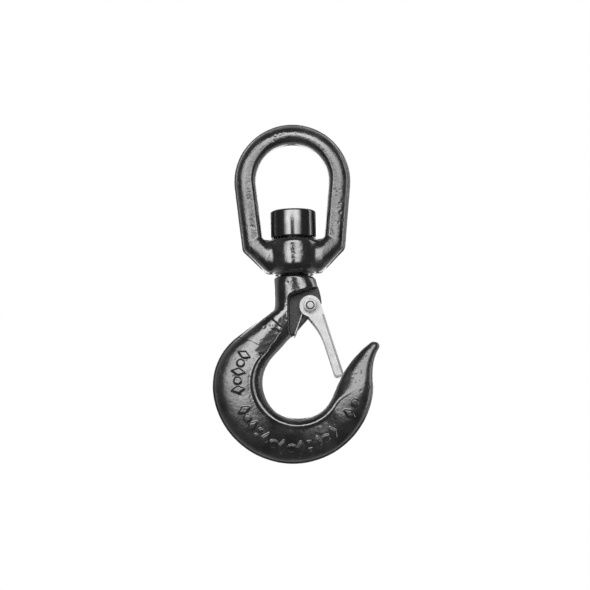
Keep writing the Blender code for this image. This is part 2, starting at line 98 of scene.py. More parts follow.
BOSS_ROUND = 0.0036
BOSS_TOP_ROUND = 0.0026
BOSS_FOOT_Z = -0.0566
HUB_RADIUS = 0.0089
HUB_Z = -0.0574
BORE_RADIUS = 0.0065

# Hook: shank, neck, cheek, bowl and tip, with the outlines of the CAD model. RING_COUNTS are the
# points on the front and the back of a section.
SHANK_END_RADIUS = 0.0060
SHANK_END_Z = -0.0300
SHANK_EDGE = 0.0008
JOURNAL_RADIUS = BORE_RADIUS - GAP
SHOULDER_RADIUS = 0.0091
SHOULDER_Z = -0.0586
NECK_NOSE = [(0.0096, -0.0595), (0.0104, -0.0632), (0.0113, -0.0670), (0.0117, -0.0701)]
NECK_OUTER = [(-0.0091, -0.0595), (-0.0089, -0.0632), (-0.0089, -0.0695)]
NOSE_FILLET = 0.0012
NECK_BEND_FILLET = 0.0045
BOWL_CENTRE = (0.0009, -0.10465)
BOWL_RADIUS = 0.01535
BOWL_START = 137.2
BOWL_END = 328.0
BACK_CENTRE = (-0.0016, -0.1046)
BACK_RADIUS = 0.0349
UPPER_BACK_RADIUS = 0.0268
BACK_MEETING = 187.0
UPPER_BACK_START = 125.8
BACK_END = 351.5
TIP_INNER_END = (0.0316, -0.0882)
TIP_INNER_HEADING = 36.0
TIP_INNER_HANDLES = (0.0060, 0.0140)
TIP_OUTER_END = (0.0358, -0.0905)
TIP_OUTER_HEADING = 61.0
TIP_OUTER_HANDLES = (0.0050, 0.0088)
TIP_HEADING = 50.0
TIP_ROUND = 0.0024
TIP_END_TURNS = range(8, 90, 9)
NECK_HALF = 0.0089
CHEEK_HALF = 0.0076
BOWL_HALF = 0.0080
THROAT_HALF = 0.0066
NECK_POWER = 2.4
BOWL_CREST = 0.21
TIP_CREST = 0.65
WEB_POWER = 2.15
WEB_DRAFT = math.tan(math.radians(9))
BEAD = 0.0006
BEAD_START = (0.0, 0.08)
BEAD_END = (0.97, 0.86)
RING_COUNTS = (92, 62)

# Collar and the pin across it.
COLLAR_TOP_ROUND = 0.0010
COLLAR_FOOT_ROUND = 0.0007
PIN_CLEARANCE = 0.0001
PIN_WALL = 0.0005
PIN_CHAMFER = 0.0004
PIN_SLIT = math.radians(16)
PIN_STEPS = 49
SHARP_ANGLE = math.radians(40)

# Latch pocket on each side of the neck, and the cam that it leaves. The pocket's left edge is up
# to 0.8 mm further right than the CAD model's.
CAM_HALF = 0.0028
CAM_DRAFT = 0.035
POCKET = [(-0.0026, -0.0838), (-0.0016, -0.0663), (0.0150, -0.0622), (0.0150, -0.0890), (0.0000, -0.0890)]
POCKET_ROUND = 0.0024
CORNER_SHARE = 1.4
POCKET_WALL = (0.0011, 0.0080)
POCKET_LIP = 0.0022
POCKET_MIDDLE = (0.0040, -0.0740)

# Forging details: the trimmed flash round the outside, the step where the cheek's web starts,
# and the sunk patch beside it.
CREST_ROUND = 0.0075
FLASH_REACH = 0.0007
FLASH_HALF = 0.0010
RELIEF_FADE = 0.0035
WEB_STEP = 0.00035
WEB_STEP_FADES = (0.0020, 0.0040)
WEB_STEP_EDGE = 0.0002
WEB_STEP_REACH = (0.012, 0.004)
WEB_STEP_LINE = ((-0.0108, -0.0763), (-0.0069, -0.0802))
PATCH_CENTRE = (-0.0123, -0.0868)
PATCH_TURN = 231.0
PATCH_HALF_SIZE = (0.0060, 0.0014)
PATCH_DEPTH = 0.0006
PATCH_SLOPE = 1.0
PATCH_WOBBLE = 0.00022
PATCH_WALL = (0.0008, -0.0001)
PATCH_SPECKS = 4
SPECK_RADII = (0.0002, 0.0004)

# Paint. The reach, depths and edge are where the dull paint of the pocket and the sunk patch ends
# and where it is whole. The gloss is the share of the clear coat that is left.
SOCKETS = {
    "roughness": "Roughness", "metallic": "Metallic", "specular": "Specular IOR Level",
    "coat": "Coat Weight", "coat_ior": "Coat IOR", "coat_roughness": "Coat Roughness",
}
POCKET_REACH = (0.0130, 0.0112)
POCKET_DEPTHS = (0.0046, 0.0036)
POCKET_GLOSS = 0.12
PATCH_REACH = (0.0070, 0.0080, 0.0024)
PATCH_EDGE = (1.55, 1.35)
PATCH_GLOSS = 0.15
SIDE_GLOSS = 0.35
DULL_ROUGHNESS = 0.75
BAIL_BLACK = (0.0060, 0.0060, 0.0062)
HOOK_BLACK = (0.0055, 0.0055, 0.0057)
PEEL_HEIGHT = 0.000060
PAINT_PIT_DEPTH = 0.000014
TURNED_GRAIN = 0.12

# Skin of a forging: the (height, waves per metre) of its layers of noise, and its pits.
SKIN = ((0.00006, 190), (0.000022, 900), (0.6 * 0.000022, 1700))
PIT_RADII = (0.00035, 0.0008)
PIT_DEPTHS = (0.00008, 0.00022)
PIT_FACING = 0.3

# Raised marks: rows of lozenges, discs and pips where a hook has its ratings. A row has its
# first and last angle round the bowl, and its radius at both ends and in the middle.
MARK_ROWS = [
    ("lozenge disc lozenge disc lozenge", 152.0, 186.0, (0.0264, 0.0264)),
    ("lozenge disc lozenge pips lozenge disc lozenge disc lozenge pips lozenge disc lozenge",
     206.0, 303.0, (0.0264, 0.0288)),
    ("lozenge disc", 327.0, 338.5, (0.0258, 0.0258)),
]
MARK_HEIGHT = 0.00065
MARK_SIZE = (0.0030, 0.0016)
MARK_EDGE = 0.00036
PIP_RADIUS = 0.0007

# Latch, spring, bolt and nut, as in the CAD model.
BLADE_LEAN = 16.7
EAR_RADIUS = 0.0046
BLADE_LENGTH = 0.0324
BLADE_OUTER = 0.00475
BLADE_INNER = 0.00095
EAR_FOOT_TURN = 241.0
INNER_CURVE = [(0.0065, -0.0014), (0.0105, BLADE_INNER), (0.0170, BLADE_INNER)]
SHEET = 0.0012
SHEET_BEND = 0.0015
FLANGE_HALF_WIDTH = 0.0069
WEB_START = 0.0056
WEB_END = 0.0298
LATCH_HOLE_RADIUS = 0.0018
BOLT_RADIUS = 0.0015
NUT_FLATS = 0.0053
HEAD_HEIGHT = 0.0020
WIRE_RADIUS = 0.0004
COIL_RADIUS = 0.0022
COIL_INNER_Y = 0.0035
COIL_OUTER_Y = 0.0050
BRIDGE = (-0.00045, -0.0841)
SPRING_FOOT = (0.0090, 0.00285)
BRIDGE_FILLET = 0.0008
LATCH_EDGE = 0.00022
BOLT_EDGE = 0.00008
THREAD_LENGTH = 0.0034
THREAD_PITCH = 0.0005
THREAD_DEPTH = 0.00011

PIVOT_JOINT = next(j for j in frame["joints"] if j["name"] == "latch_pivot")
PIVOT = (PIVOT_JOINT["pos_m"][0], PIVOT_JOINT["pos_m"][2])


# ---------------------------------------------------------------- outlines

def point(pair, y=0.0):
    """The 3D point at (x, z) in the XZ plane, moved along Y."""
    return Vector((pair[0], y, pair[1]))


def direction(degrees):
    """The unit vector at an angle in the XZ plane."""
    return point((math.cos(math.radians(degrees)), math.sin(math.radians(degrees))))


def mix(a, b, share):
    """The number or vector at a share of the way from a to b."""
    return a + (b - a) * share


def smooth_step(low, high, value):
    """0 below low, 1 above high, and an even S between them."""
    share = np.clip((value - low) / (high - low), 0.0, 1.0)
    return share * share * (3 - 2 * share)


def arc(centre, radius, start, end, steps):
    """Points along an arc, with both ends."""
    turn = (end - start) / steps
    return [point(centre) + radius * direction(start + turn * i) for i in range(steps + 1)]


def fillet(before, corner, after, radius, steps=12):
    """The points of a round of this radius between the straight sides that meet at a corner."""
    back = (before - corner).normalized()
    ahead = (after - corner).normalized()
    half = back.angle(ahead) / 2
    reach = radius / math.tan(half)
    middle = corner + (back + ahead).normalized() * (radius / math.sin(half))
    start = corner + back * reach - middle
    finish = corner + ahead * reach - middle
    turn = start.angle(finish)
    shares = [i / steps for i in range(steps + 1)]
    return [
        middle + (start * math.sin((1 - t) * turn) + finish * math.sin(t * turn)) / math.sin(turn)
        for t in shares
    ]


def spaced(path, steps):
    """The polyline's points at equal distances along it, with both ends, as an array."""
    places = np.array(path)
    reach = np.concatenate([[0.0], np.cumsum(np.linalg.norm(np.diff(places, axis=0), axis=1))])
    wanted = np.linspace(0.0, reach[-1], steps + 1)
    return np.stack([np.interp(wanted, reach, places[:, k]) for k in range(3)], axis=1)


def paired(inner, outer, steps):
    """Matching points along an inner and an outer edge."""
    return list(zip(spaced(inner, steps), spaced(outer, steps)))


# ---------------------------------------------------------------- forged bars

def smooth_max(a, b, reach):
    """The larger of a and b, with the corner between them rounded over a reach."""
    near = np.clip(reach - np.abs(a - b), 0.0, None) / reach
    return np.maximum(a, b) + near * near * reach / 4


def bar_profile(width, half, crest, inner_power, outer_power, flash, draft=0.0):
    """(across, height) from a bar's inner edge to its outer one, across being a share of its width.

    The bar is thickest at the crest. Each side of the crest is a quarter of a superellipse. The
    outer one falls at least as fast as the draft, and the trimmed flash stands out past it.
    """
    turn = np.linspace(0.0, math.pi / 2, 260)
    rise = np.sin(turn) ** (2 / inner_power)
    inner_across = crest * (1 - np.cos(turn) ** (2 / inner_power))
    end = 1 - flash * FLASH_REACH / width
    fall = np.clip(np.cos(turn), 0.0, 1.0) ** (2 / outer_power)
    outer_across = crest + (end - crest) * np.sin(turn) ** (2 / outer_power)
    edge = np.linspace(end, 1.0, 40)[1:] if flash else np.zeros(0)
    across = np.concatenate([inner_across, outer_across[1:], edge])
    height = np.concatenate([half * rise, half * fall[1:], 0 * edge])
    if draft:
        slope = half - draft * (across - crest) * width
        height = np.where(across > crest, -smooth_max(-height, -slope, CREST_ROUND * draft), height)
    if flash:
        depth = np.clip((1 - across) * width / FLASH_REACH, 0.0, 1.0)
        lip = flash * FLASH_HALF * np.sqrt(1 - (1 - depth) ** 2)
        height = np.where(across > crest, smooth_max(height, lip, 0.0006), height)
        height[-1] = 0.0
    return across, height


def bar_ring(pair, shape, counts, relief=None):
    """A ring of points round a bar between two edge points.

    relief(x, z, across, height, side) gives the height of each side, -1 being the front.
    """
    inner, outer = np.array(pair[0]), np.array(pair[1])
    across, height = bar_profile(np.linalg.norm(outer - inner), *shape)
    line = inner + (outer - inner) * across[:, None]
    sides = []
    for side, count in zip((-1, 1), counts):
        shown = relief(line[:, 0], line[:, 2], across, height, side) if relief else height
        surface = line.copy()
        surface[:, 1] = side * shown
        sides.append(spaced(surface, count - 1))
    front, back = sides
    return np.concatenate([front, back[-2:0:-1]])


def ring_mesh(rings, closed_loop=False):
    """(points, faces) of a skin over rings of equal size, a closed loop or with both ends filled."""
    size, count = len(rings[0]), len(rings)
    points = np.concatenate(rings)
    here = np.arange(size)
    following = (here + 1) % size
    faces = []
    for row in range(count if closed_loop else count - 1):
        a, b = row * size, ((row + 1) % count) * size
        faces += np.stack([a + here, a + following, b + following, b + here], axis=1).tolist()
    if not closed_loop:
        faces.append(list(range(size))[::-1])
        faces.append(list(range((count - 1) * size, count * size)))
    return points, faces


def mesh_object(name, points, faces):
    """A smooth object from points and faces, with its faces turned outwards."""
    mesh = bpy.data.meshes.new(name)
    mesh.from_pydata([tuple(p) for p in points], [], faces)
    bm = bmesh.new()
    bm.from_mesh(mesh)
    bmesh.ops.recalc_face_normals(bm, faces=bm.faces)
    bm.to_mesh(mesh)
    bm.free()
    mesh.shade_smooth()
    piece = bpy.data.objects.new(name, mesh)
    bpy.context.scene.collection.objects.link(piece)
    return piece


def applied(piece):
    """The piece with its modifiers made part of its mesh."""
    graph = bpy.context.evaluated_depsgraph_get()
    mesh = bpy.data.meshes.new_from_object(piece.evaluated_get(graph))
    piece.modifiers.clear()
    piece.data = mesh
    return piece


def cut(piece, shape, operation="DIFFERENCE"):
    """The piece after a Boolean with a closed shape, which is then removed."""
    modifier = piece.modifiers.new(operation.title(), "BOOLEAN")
    modifier.object = shape
    modifier.operation = operation
    modifier.solver = "MANIFOLD"
    applied(piece)
    bpy.data.objects.remove(shape, do_unlink=True)
    return piece


def coordinates(mesh):
    """The mesh's vertex positions as an array."""
    places = np.empty(len(mesh.vertices) * 3)
    mesh.vertices.foreach_get("co", places)
    return places.reshape(-1, 3)


def vertex_normals(mesh):
    """The mesh's vertex normals as an array."""
    normals = np.empty(len(mesh.vertices) * 3)
    mesh.vertex_normals.foreach_get("vector", normals)
    return normals.reshape(-1, 3)


def soften(piece, weights, rounds):
    """Moves each vertex towards the middle of its neighbours, by its weight, several times."""
    mesh = piece.data
    edges = np.empty(len(mesh.edges) * 2, dtype=int)
    mesh.edges.foreach_get("vertices", edges)
    a, b = edges.reshape(-1, 2).T
    size = len(mesh.vertices)
    degree = np.maximum(np.bincount(a, minlength=size) + np.bincount(b, minlength=size), 1)
    places = coordinates(mesh)
    for _ in range(rounds):
        for k in range(3):
            total = np.bincount(a, places[b, k], size) + np.bincount(b, places[a, k], size)
            places[:, k] += 0.6 * weights * (total / degree - places[:, k])
    mesh.vertices.foreach_set("co", places.ravel())
    mesh.update()


def forge(piece, seed, pits):
    """Gives a forging its uneven skin: slow swells, a close grain, and pits where it scaled.

    Each group of pits has its middle, its spread, how many there are, and their side, -1 being
    the front.
    """
    mesh = piece.data
    places, normals = coordinates(mesh), vertex_normals(mesh)
    shift = Vector((seed, 2.3 * seed, 0.7 * seed))
    moved = np.array([
        sum(height * noise.noise(Vector(p) * waves + shift) for height, waves in SKIN) for p in places
    ])
    draw = random.Random(seed)
    for (x, z), spread, count, side in pits:
        facing = side * normals[:, 1] > PIT_FACING
        for _ in range(count):
            middle = (draw.gauss(x, spread[0]), draw.gauss(z, spread[1]))
            radius = draw.uniform(*PIT_RADII)
            distance = np.hypot(places[:, 0] - middle[0], places[:, 2] - middle[1]) / radius
            moved -= draw.uniform(*PIT_DEPTHS) * (np.clip(1 - distance**2, 0.0, None) * facing)
    places += normals * moved[:, None]
    mesh.vertices.foreach_set("co", places.ravel())
    mesh.update()


# ---------------------------------------------------------------- bail

def bail_half_rings():
    """Sections of the bail's right half, from the crown round the leg to the swivel axis."""
    eye_centre, crown_centre = (0.0, -EYE_RADIUS), (0.0, CROWN_CENTRE_Z)
    inner_leg = point(eye_centre) + EYE_RADIUS * direction(-LEG_LEAN)
    outer_leg = point(crown_centre) + CROWN_RADIUS * direction(-LEG_LEAN)
    floor_z = FLOOR_Z - GAP
    drop = (inner_leg.z - floor_z) * math.tan(math.radians(LEG_LEAN))
    inner_corner = point((inner_leg.x - drop, floor_z))
    floor_round = fillet(inner_leg, inner_corner, point((0, floor_z)), FLOOR_FILLET)
    foot, bottom = point(LEG_FOOT), point(BAIL_BOTTOM)
    foot_round = fillet(outer_leg, foot, bottom, FOOT_FILLET)
    bottom_round = fillet(foot, bottom, point((0, BAIL_BOTTOM[1])), FOOT_FILLET)
    crown = paired(
        arc(eye_centre, EYE_RADIUS, 90, -LEG_LEAN, 90),
        arc(crown_centre, CROWN_RADIUS, 90, -LEG_LEAN, 90), CROWN_STEPS,
    )
    leg = paired([inner_leg, floor_round[0]], [outer_leg, foot_round[0]], LEG_STEPS)
    foot_bend = paired(floor_round, foot_round + bottom_round, FOOT_STEPS)
    middle = paired(
        [floor_round[-1], point((0, floor_z))], [bottom_round[-1], point((0, BAIL_BOTTOM[1]))], 30
    )
    pairs = crown + leg[1:] + foot_bend[1:] + middle[1:]
    rings = []
    for i, pair in enumerate(pairs):
        share = min(max((i - len(crown) - SWELL_START) / FOOT_STEPS, 0.0), 1.0)
        round_crown = max(0.0, 1 - i / len(crown))
        half = mix(BAIL_HALF, BAIL_FOOT_HALF, share)
        crest = mix(mix(BAIL_CREST, CROWN_CREST, round_crown), 0.5, share)
        outer_power = mix(*BAIL_OUTER_POWERS, round_crown)
        shape = (half, crest, BAIL_INNER_POWER, outer_power, 1.0 - share * 0.4)
        rings.append(bar_ring(pair, shape, (60, 60)))
    return rings


def turned_object(name, profile, axis="Z", centre=(0.0, 0.0), steps=96, closed_loop=False):
    """A solid turned about an axis from (radius, height) pairs. The centre is in the other two axes."""
    turn = np.linspace(0.0, math.tau, steps, endpoint=False)
    rings = []
    for radius, height in profile:
        columns = [centre[0] + radius * np.cos(turn), centre[1] + radius * np.sin(turn)]
        columns.insert("XYZ".index(axis), np.full(steps, height))
        rings.append(np.stack(columns, axis=1))
    return mesh_object(name, *ring_mesh(rings, closed_loop))


def turned_on_bolt(name, profile, steps=72):
    """A solid turned about the bolt's axis from (radius, y) pairs."""
    return turned_object(name, profile, "Y", PIVOT, steps)


def bolt_hole(name, radius, reach):
    """The shape that cuts a hole for the bolt, this far to the front and the back."""
    return turned_on_bolt(name, [(radius, -reach), (radius, reach)], 64)


def quarter_round(radius, z, size, top, steps=8):
    """(radius, z) pairs of a rounded rim: from the end face out to the side, or back to it."""
    turns = [math.pi / 2 * i / steps for i in range(steps + 1)]
    rim = [(radius - size * (1 - math.sin(t)), z - size * (1 - math.cos(t))) for t in turns]
    if top:
        return rim
    return [(r, 2 * z - height) for r, height in rim[::-1]]


def make_bail():
    """The forged eye with its boss, bored for the shank."""
    right = bail_half_rings()
    left = [ring * np.array([-1.0, 1.0, 1.0]) for ring in right[-2:0:-1]]
    bail = mesh_object("bail_forging", *ring_mesh(right + left, closed_loop=True))
    profile = [
        *quarter_round(BOSS_RADIUS, FLOOR_Z, BOSS_TOP_ROUND, True),
        *quarter_round(BOSS_RADIUS, BOSS_FOOT_Z, BOSS_ROUND, False),
        (HUB_RADIUS, BOSS_FOOT_Z),
        *quarter_round(HUB_RADIUS, HUB_Z, GAP, False, 3),
    ]
    cut(bail, turned_object("boss_shape", profile), "UNION")
    top_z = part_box("bail")[1].z
    cut(bail, turned_object("bore_shape", [(BORE_RADIUS, top_z - EYE_RADIUS), (BORE_RADIUS, 2 * HUB_Z)]))
    remesh = bail.modifiers.new("Remesh", "REMESH")
    remesh.mode = "VOXEL"
    remesh.voxel_size = BAIL_VOXEL
    remesh.use_smooth_shade = True
    applied(bail)
    places = coordinates(bail.data)
    soften(bail, np.full(len(places), 0.5), 2)
    reach = np.abs(np.hypot(places[:, 0], places[:, 1]) - BOSS_RADIUS)
    beside_boss = smooth_step(*BOSS_BLEND, reach) * smooth_step(*BOSS_BLEND_DEPTHS, np.abs(places[:, 1]))
    low = smooth_step(FLOOR_Z + 0.002, FLOOR_Z - 0.001, places[:, 2])
    above_hub = smooth_step(BOSS_FOOT_Z, BOSS_FOOT_Z + 0.002, places[:, 2])
    soften(bail, beside_boss * low * above_hub, BOSS_BLEND_ROUNDS)
    pits = [
        ((0.0205, -0.0235), (0.0012, 0.0035), 14, -1),
        ((0.0195, -0.0330), (0.0012, 0.0040), 8, -1),
        ((-0.0185, -0.0300), (0.0010, 0.0070), 10, -1),
        ((0.0000, 0.0042), (0.0100, 0.0012), 14, -1),
        ((-0.0190, -0.0250), (0.0015, 0.0080), 12, 1),
        ((0.0060, 0.0040), (0.0080, 0.0015), 10, 1),
    ]
    forge(bail, 11, pits)
    return bail


# ---------------------------------------------------------------- hook

def upper_back_centre():
    """The centre of the arc above the back, which meets the back's own arc without a corner."""
    return point(BACK_CENTRE) + (BACK_RADIUS - UPPER_BACK_RADIUS) * direction(BACK_MEETING)


def along_ray(centre, radius, angle):
    """Where the ray from the bowl's centre at this angle leaves a circle."""
    ray = direction(angle)
    offset = point(BOWL_CENTRE) - centre
    middle = offset.dot(ray)
    return point(BOWL_CENTRE) + ray * (math.sqrt(middle**2 - offset.length_squared + radius**2) - middle)


def outer_at(angle):
    """The hook's outer edge on the ray from the bowl's centre at this angle."""
    upper = along_ray(upper_back_centre(), UPPER_BACK_RADIUS, angle)
    offset = upper - point(BACK_CENTRE)
    turned_by = math.degrees(math.atan2(offset.z, offset.x)) % 360
    if turned_by < BACK_MEETING:
        return upper
    return along_ray(point(BACK_CENTRE), BACK_RADIUS, angle)


def neck_and_cheek_pairs():
    """(inner, outer) edge points down the neck, and those along the cheek to the bowl."""
    bowl_top = point(BOWL_CENTRE) + BOWL_RADIUS * direction(BOWL_START)
    slope_start = upper_back_centre() + UPPER_BACK_RADIUS * direction(UPPER_BACK_START)
    slope = direction(UPPER_BACK_START - 90)
    bend = slope_start + slope * ((NECK_OUTER[-1][0] - slope_start.x) / slope.x)
    nose_round = fillet(point(NECK_NOSE[-2]), point(NECK_NOSE[-1]), bowl_top, NOSE_FILLET)
    split = point(NECK_OUTER[-1])
    reach = outer_at(BOWL_START) - upper_back_centre()
    end = math.degrees(math.atan2(reach.z, reach.x))
    upper_back = arc(upper_back_centre().xz, UPPER_BACK_RADIUS, UPPER_BACK_START, end, 12)
    bend_round = fillet(split, bend, slope_start, NECK_BEND_FILLET)
    neck = paired(
        [point(p) for p in NECK_NOSE[:-1]] + nose_round[:1], [point(p) for p in NECK_OUTER], 40
    )
    cheek_outer = [split] + bend_round + upper_back
    return neck, paired(nose_round + [bowl_top], cheek_outer, 84)


def bowl_pairs():
    """(inner, outer) edge points round the bowl, on rays from its centre."""
    angles = np.linspace(BOWL_START, BOWL_END, 301)
    return [(point(BOWL_CENTRE) + BOWL_RADIUS * direction(a), outer_at(a)) for a in angles]


def tip_side(start, start_heading, end, end_heading, handles):
    """A curve from the bowl to the tip, with its direction at each end."""
    first = start + handles[0] * direction(start_heading)
    last = point(end) - handles[1] * direction(end_heading)
    return interpolate_bezier(start, first, last, point(end), 80)


def tip_pairs():
    """(inner, outer) edge points from the bowl to the start of the tip's round end."""
    inner_start = point(BOWL_CENTRE) + BOWL_RADIUS * direction(BOWL_END)
    offset = outer_at(BOWL_END) - point(BACK_CENTRE)
    outer_angle = math.degrees(math.atan2(offset.z, offset.x)) % 360
    back = arc(BACK_CENTRE, BACK_RADIUS, outer_angle, BACK_END, 40)
    inner = tip_side(
        inner_start, BOWL_END + 90, TIP_INNER_END, TIP_INNER_HEADING, TIP_INNER_HANDLES
    )
    outer = tip_side(back[-1], BACK_END + 90, TIP_OUTER_END, TIP_OUTER_HEADING, TIP_OUTER_HANDLES)
    return paired(inner, back + outer[1:], 76)


def outline_distance(x, z, corners):
    """The distance from points to a polygon, negative inside it."""
    inside = np.zeros(x.shape, bool)
    nearest = np.full(x.shape, 1.0)
    for (ax, az), (bx, bz) in zip(corners, corners[1:] + corners[:1]):
        ex, ez = bx - ax, bz - az
        share = np.clip(((x - ax) * ex + (z - az) * ez) / (ex * ex + ez * ez), 0.0, 1.0)
        nearest = np.minimum(nearest, np.hypot(x - ax - ex * share, z - az - ez * share))
        crosses = (az > z) != (bz > z)
        if az != bz:
            inside ^= crosses & (x < ex * (z - az) / ez + ax)
    return np.where(inside, -nearest, nearest)


def inset(corners, distance):
    """The polygon with its corners moved inwards, to be rounded outwards by the distance again."""
    middle = np.mean(corners, axis=0)
    moved = []
    for corner in np.array(corners):
        inwards = middle - corner
        moved.append(tuple(corner + inwards * distance / np.linalg.norm(inwards) * CORNER_SHARE))
    return moved


def mark_distance(kind, u, v, size):
    """The distance outside a mark, in its own axes: u away from the bowl, v along the row."""
    long, wide = size
    if kind == "disc":
        return np.hypot(u, v) - wide
    if kind == "lozenge":
        return (np.abs(u) / long + np.abs(v) / wide - 1) * long * wide / math.hypot(long, wide)
    return np.hypot(np.abs(u) - long / 2, v) - PIP_RADIUS


def mark_places():
    """(kind, x, z, angle) of every raised mark."""
    places = []
    for row, start, end, (end_radius, middle_radius) in MARK_ROWS:
        kinds = row.split()
        for i, kind in enumerate(kinds):
            share = i / (len(kinds) - 1)
            angle = math.radians(mix(start, end, share))
            radius = mix(end_radius, middle_radius, math.sin(math.pi * share))
            x = BOWL_CENTRE[0] + radius * math.cos(angle)
            z = BOWL_CENTRE[1] + radius * math.sin(angle)
            places.append((kind, x, z, angle))
    return places


MARKS = mark_places()
ROUNDED_POCKET = inset(POCKET, POCKET_ROUND)


def marks_height(x, z):
    """How far the raised marks stand over the surface."""
    height = np.zeros(x.shape)
    for kind, mark_x, mark_z, angle in MARKS:
        dx, dz = x - mark_x, z - mark_z
        u = dx * math.cos(angle) + dz * math.sin(angle)
        v = dz * math.cos(angle) - dx * math.sin(angle)
        away = mark_distance(kind, u, v, MARK_SIZE)
        height = np.maximum(height, MARK_HEIGHT * smooth_step(MARK_EDGE / 2, -MARK_EDGE / 2, away))
    return height


def patch_height(x, z):
    """The sunk patch on the cheek: an uneven outline, a sloping floor and a few small specks."""
    turn = math.radians(PATCH_TURN)
    dx, dz = x - PATCH_CENTRE[0], z - PATCH_CENTRE[1]
    u = dx * math.cos(turn) + dz * math.sin(turn)
    v = dz * math.cos(turn) - dx * math.sin(turn)
    wobble = PATCH_WOBBLE * np.sin(1300 * u + 2 * np.sin(900 * v))
    away = np.hypot(
        np.clip(np.abs(u) - PATCH_HALF_SIZE[0], 0.0, None), np.clip(np.abs(v) - PATCH_HALF_SIZE[1], 0.0, None)
    ) + wobble
    inside = smooth_step(*PATCH_WALL, away)
    height = -PATCH_DEPTH * (1 + PATCH_SLOPE * v / PATCH_HALF_SIZE[1]) * inside
    draw = random.Random(5)
    for _ in range(PATCH_SPECKS):
        speck_u = draw.uniform(-0.9, 0.9) * PATCH_HALF_SIZE[0]
        speck_v = draw.uniform(-0.8, 0.8) * PATCH_HALF_SIZE[1]
        spread = draw.uniform(*SPECK_RADII)
        height += 0.6 * PATCH_DEPTH * smooth_step(spread, 0.0, np.hypot(u - speck_u, v - speck_v))
    return height


def web_step_height(x, z):
    """The step down where the cheek's web starts, past a line across the bar."""
    (ax, az), (bx, bz) = WEB_STEP_LINE
    length = math.hypot(bx - ax, bz - az)
    along = ((x - ax) * (bx - ax) + (z - az) * (bz - az)) / length
    past = ((x - ax) * (bz - az) - (z - az) * (bx - ax)) / length
    inner_fade, outer_fade = WEB_STEP_FADES
    width = smooth_step(-inner_fade, 0.0, along) * smooth_step(length + outer_fade, length, along)
    edge = smooth_step(-WEB_STEP_EDGE, WEB_STEP_EDGE, past)
    return -WEB_STEP * width * edge * smooth_step(*WEB_STEP_REACH, past)


def hook_relief(bead):
    """The relief of one ring of the hook, whose bead stands this far over its web."""

    def relief(x, z, across, height, side):
        flat = smooth_step(0.0, RELIEF_FADE, height)
        shown = height - bead * smooth_step(0.0, 0.05, across - BOWL_CREST) * flat
        shown += web_step_height(x, z) * flat * smooth_step(0.3, 0.45, across)
        if side < 0:
            shown += (marks_height(x, z) + patch_height(x, z)) * flat
        away = outline_distance(x, z, ROUNDED_POCKET) - POCKET_ROUND
        floor_height = CAM_HALF + CAM_DRAFT * (x - PIVOT[0])
        limit = floor_height + POCKET_WALL[1] * smooth_step(0.0, POCKET_WALL[0], away)
        return -smooth_max(-shown, -limit, POCKET_LIP)

    return relief


def hook_rings():
    """Every section of the hook, from the top of its shank to its tip."""
    counts = RING_COUNTS
    shank = quarter_round(SHANK_END_RADIUS, SHANK_END_Z, SHANK_EDGE, True, 6)
    shank += [
        (SHANK_END_RADIUS, FLOOR_Z + GAP),
        (JOURNAL_RADIUS, FLOOR_Z - GAP),
        (JOURNAL_RADIUS, SHOULDER_Z + GAP),
        (JOURNAL_RADIUS + GAP, SHOULDER_Z),
    ]
    shank += quarter_round(SHOULDER_RADIUS, SHOULDER_Z, SHANK_EDGE, True, 6)[:-1]
    plain = (2.0, 2.0, 0.0)
    rings = []
    for radius, z in shank:
        edges = (point((radius, z)), point((-radius, z)))
        rings.append(bar_ring(edges, (radius, 0.5, *plain), counts))
    neck, cheek = neck_and_cheek_pairs()
    bowl, tip = bowl_pairs(), tip_pairs()
    for i, pair in enumerate(neck):
        share = min(1.0, i / 12)
        power = mix(2.0, NECK_POWER, share)
        shape = (mix(SHOULDER_RADIUS, NECK_HALF, share), 0.5, power, power, 0.0)
        rings.append(bar_ring(pair, shape, counts, hook_relief(0.0)))
    for i, pair in enumerate(cheek[1:]):
        share = smooth_step(0, len(cheek) - 1, i + 1)
        half = mix(NECK_HALF, CHEEK_HALF, share)
        powers = (mix(NECK_POWER, 2.0, share), mix(NECK_POWER, WEB_POWER, share))
        crest = mix(0.5, BOWL_CREST, share * share)
        shape = (half, crest, *powers, share, WEB_DRAFT * share * share)
        rings.append(bar_ring(pair, shape, counts, hook_relief(0.0)))
    for i, pair in enumerate(bowl[1:]):
        share = (i + 1) / (len(bowl) - 1)
        swell = math.sin(math.pi * share) * (BOWL_HALF - CHEEK_HALF)
        half = mix(CHEEK_HALF, THROAT_HALF, share) + swell
        bead = BEAD * smooth_step(*BEAD_START, share) * smooth_step(*BEAD_END, share)
        shape = (half, BOWL_CREST, 2.0, WEB_POWER, 1.0, WEB_DRAFT)
        rings.append(bar_ring(pair, shape, counts, hook_relief(bead)))
    for i, pair in enumerate(tip[1:]):
        share = (i + 1) / (len(tip) - 1)
        half = mix(THROAT_HALF, TIP_ROUND, share**1.3)
        crest = mix(mix(BOWL_CREST, TIP_CREST, smooth_step(0.0, 0.5, share)), 0.5, share**4)
        flash = max(0.0, 1 - 1.6 * share)
        draft = WEB_DRAFT * smooth_step(0.4, 0.0, share)
        shape = (half, crest, 2.0, mix(WEB_POWER, 2.1, share), flash, draft)
        rings.append(bar_ring(pair, shape, counts, hook_relief(0.0)))
    inner, outer = (Vector(p) for p in tip[-1])
    for turn in TIP_END_TURNS:
        left = math.cos(math.radians(turn))
        middle = (inner + outer) / 2 + TIP_ROUND * math.sin(math.radians(turn)) * direction(TIP_HEADING)
        half = (inner - outer) / 2 * left
        rings.append(bar_ring((middle + half, middle - half), (TIP_ROUND * left, 0.5, *plain), counts))
    return rings


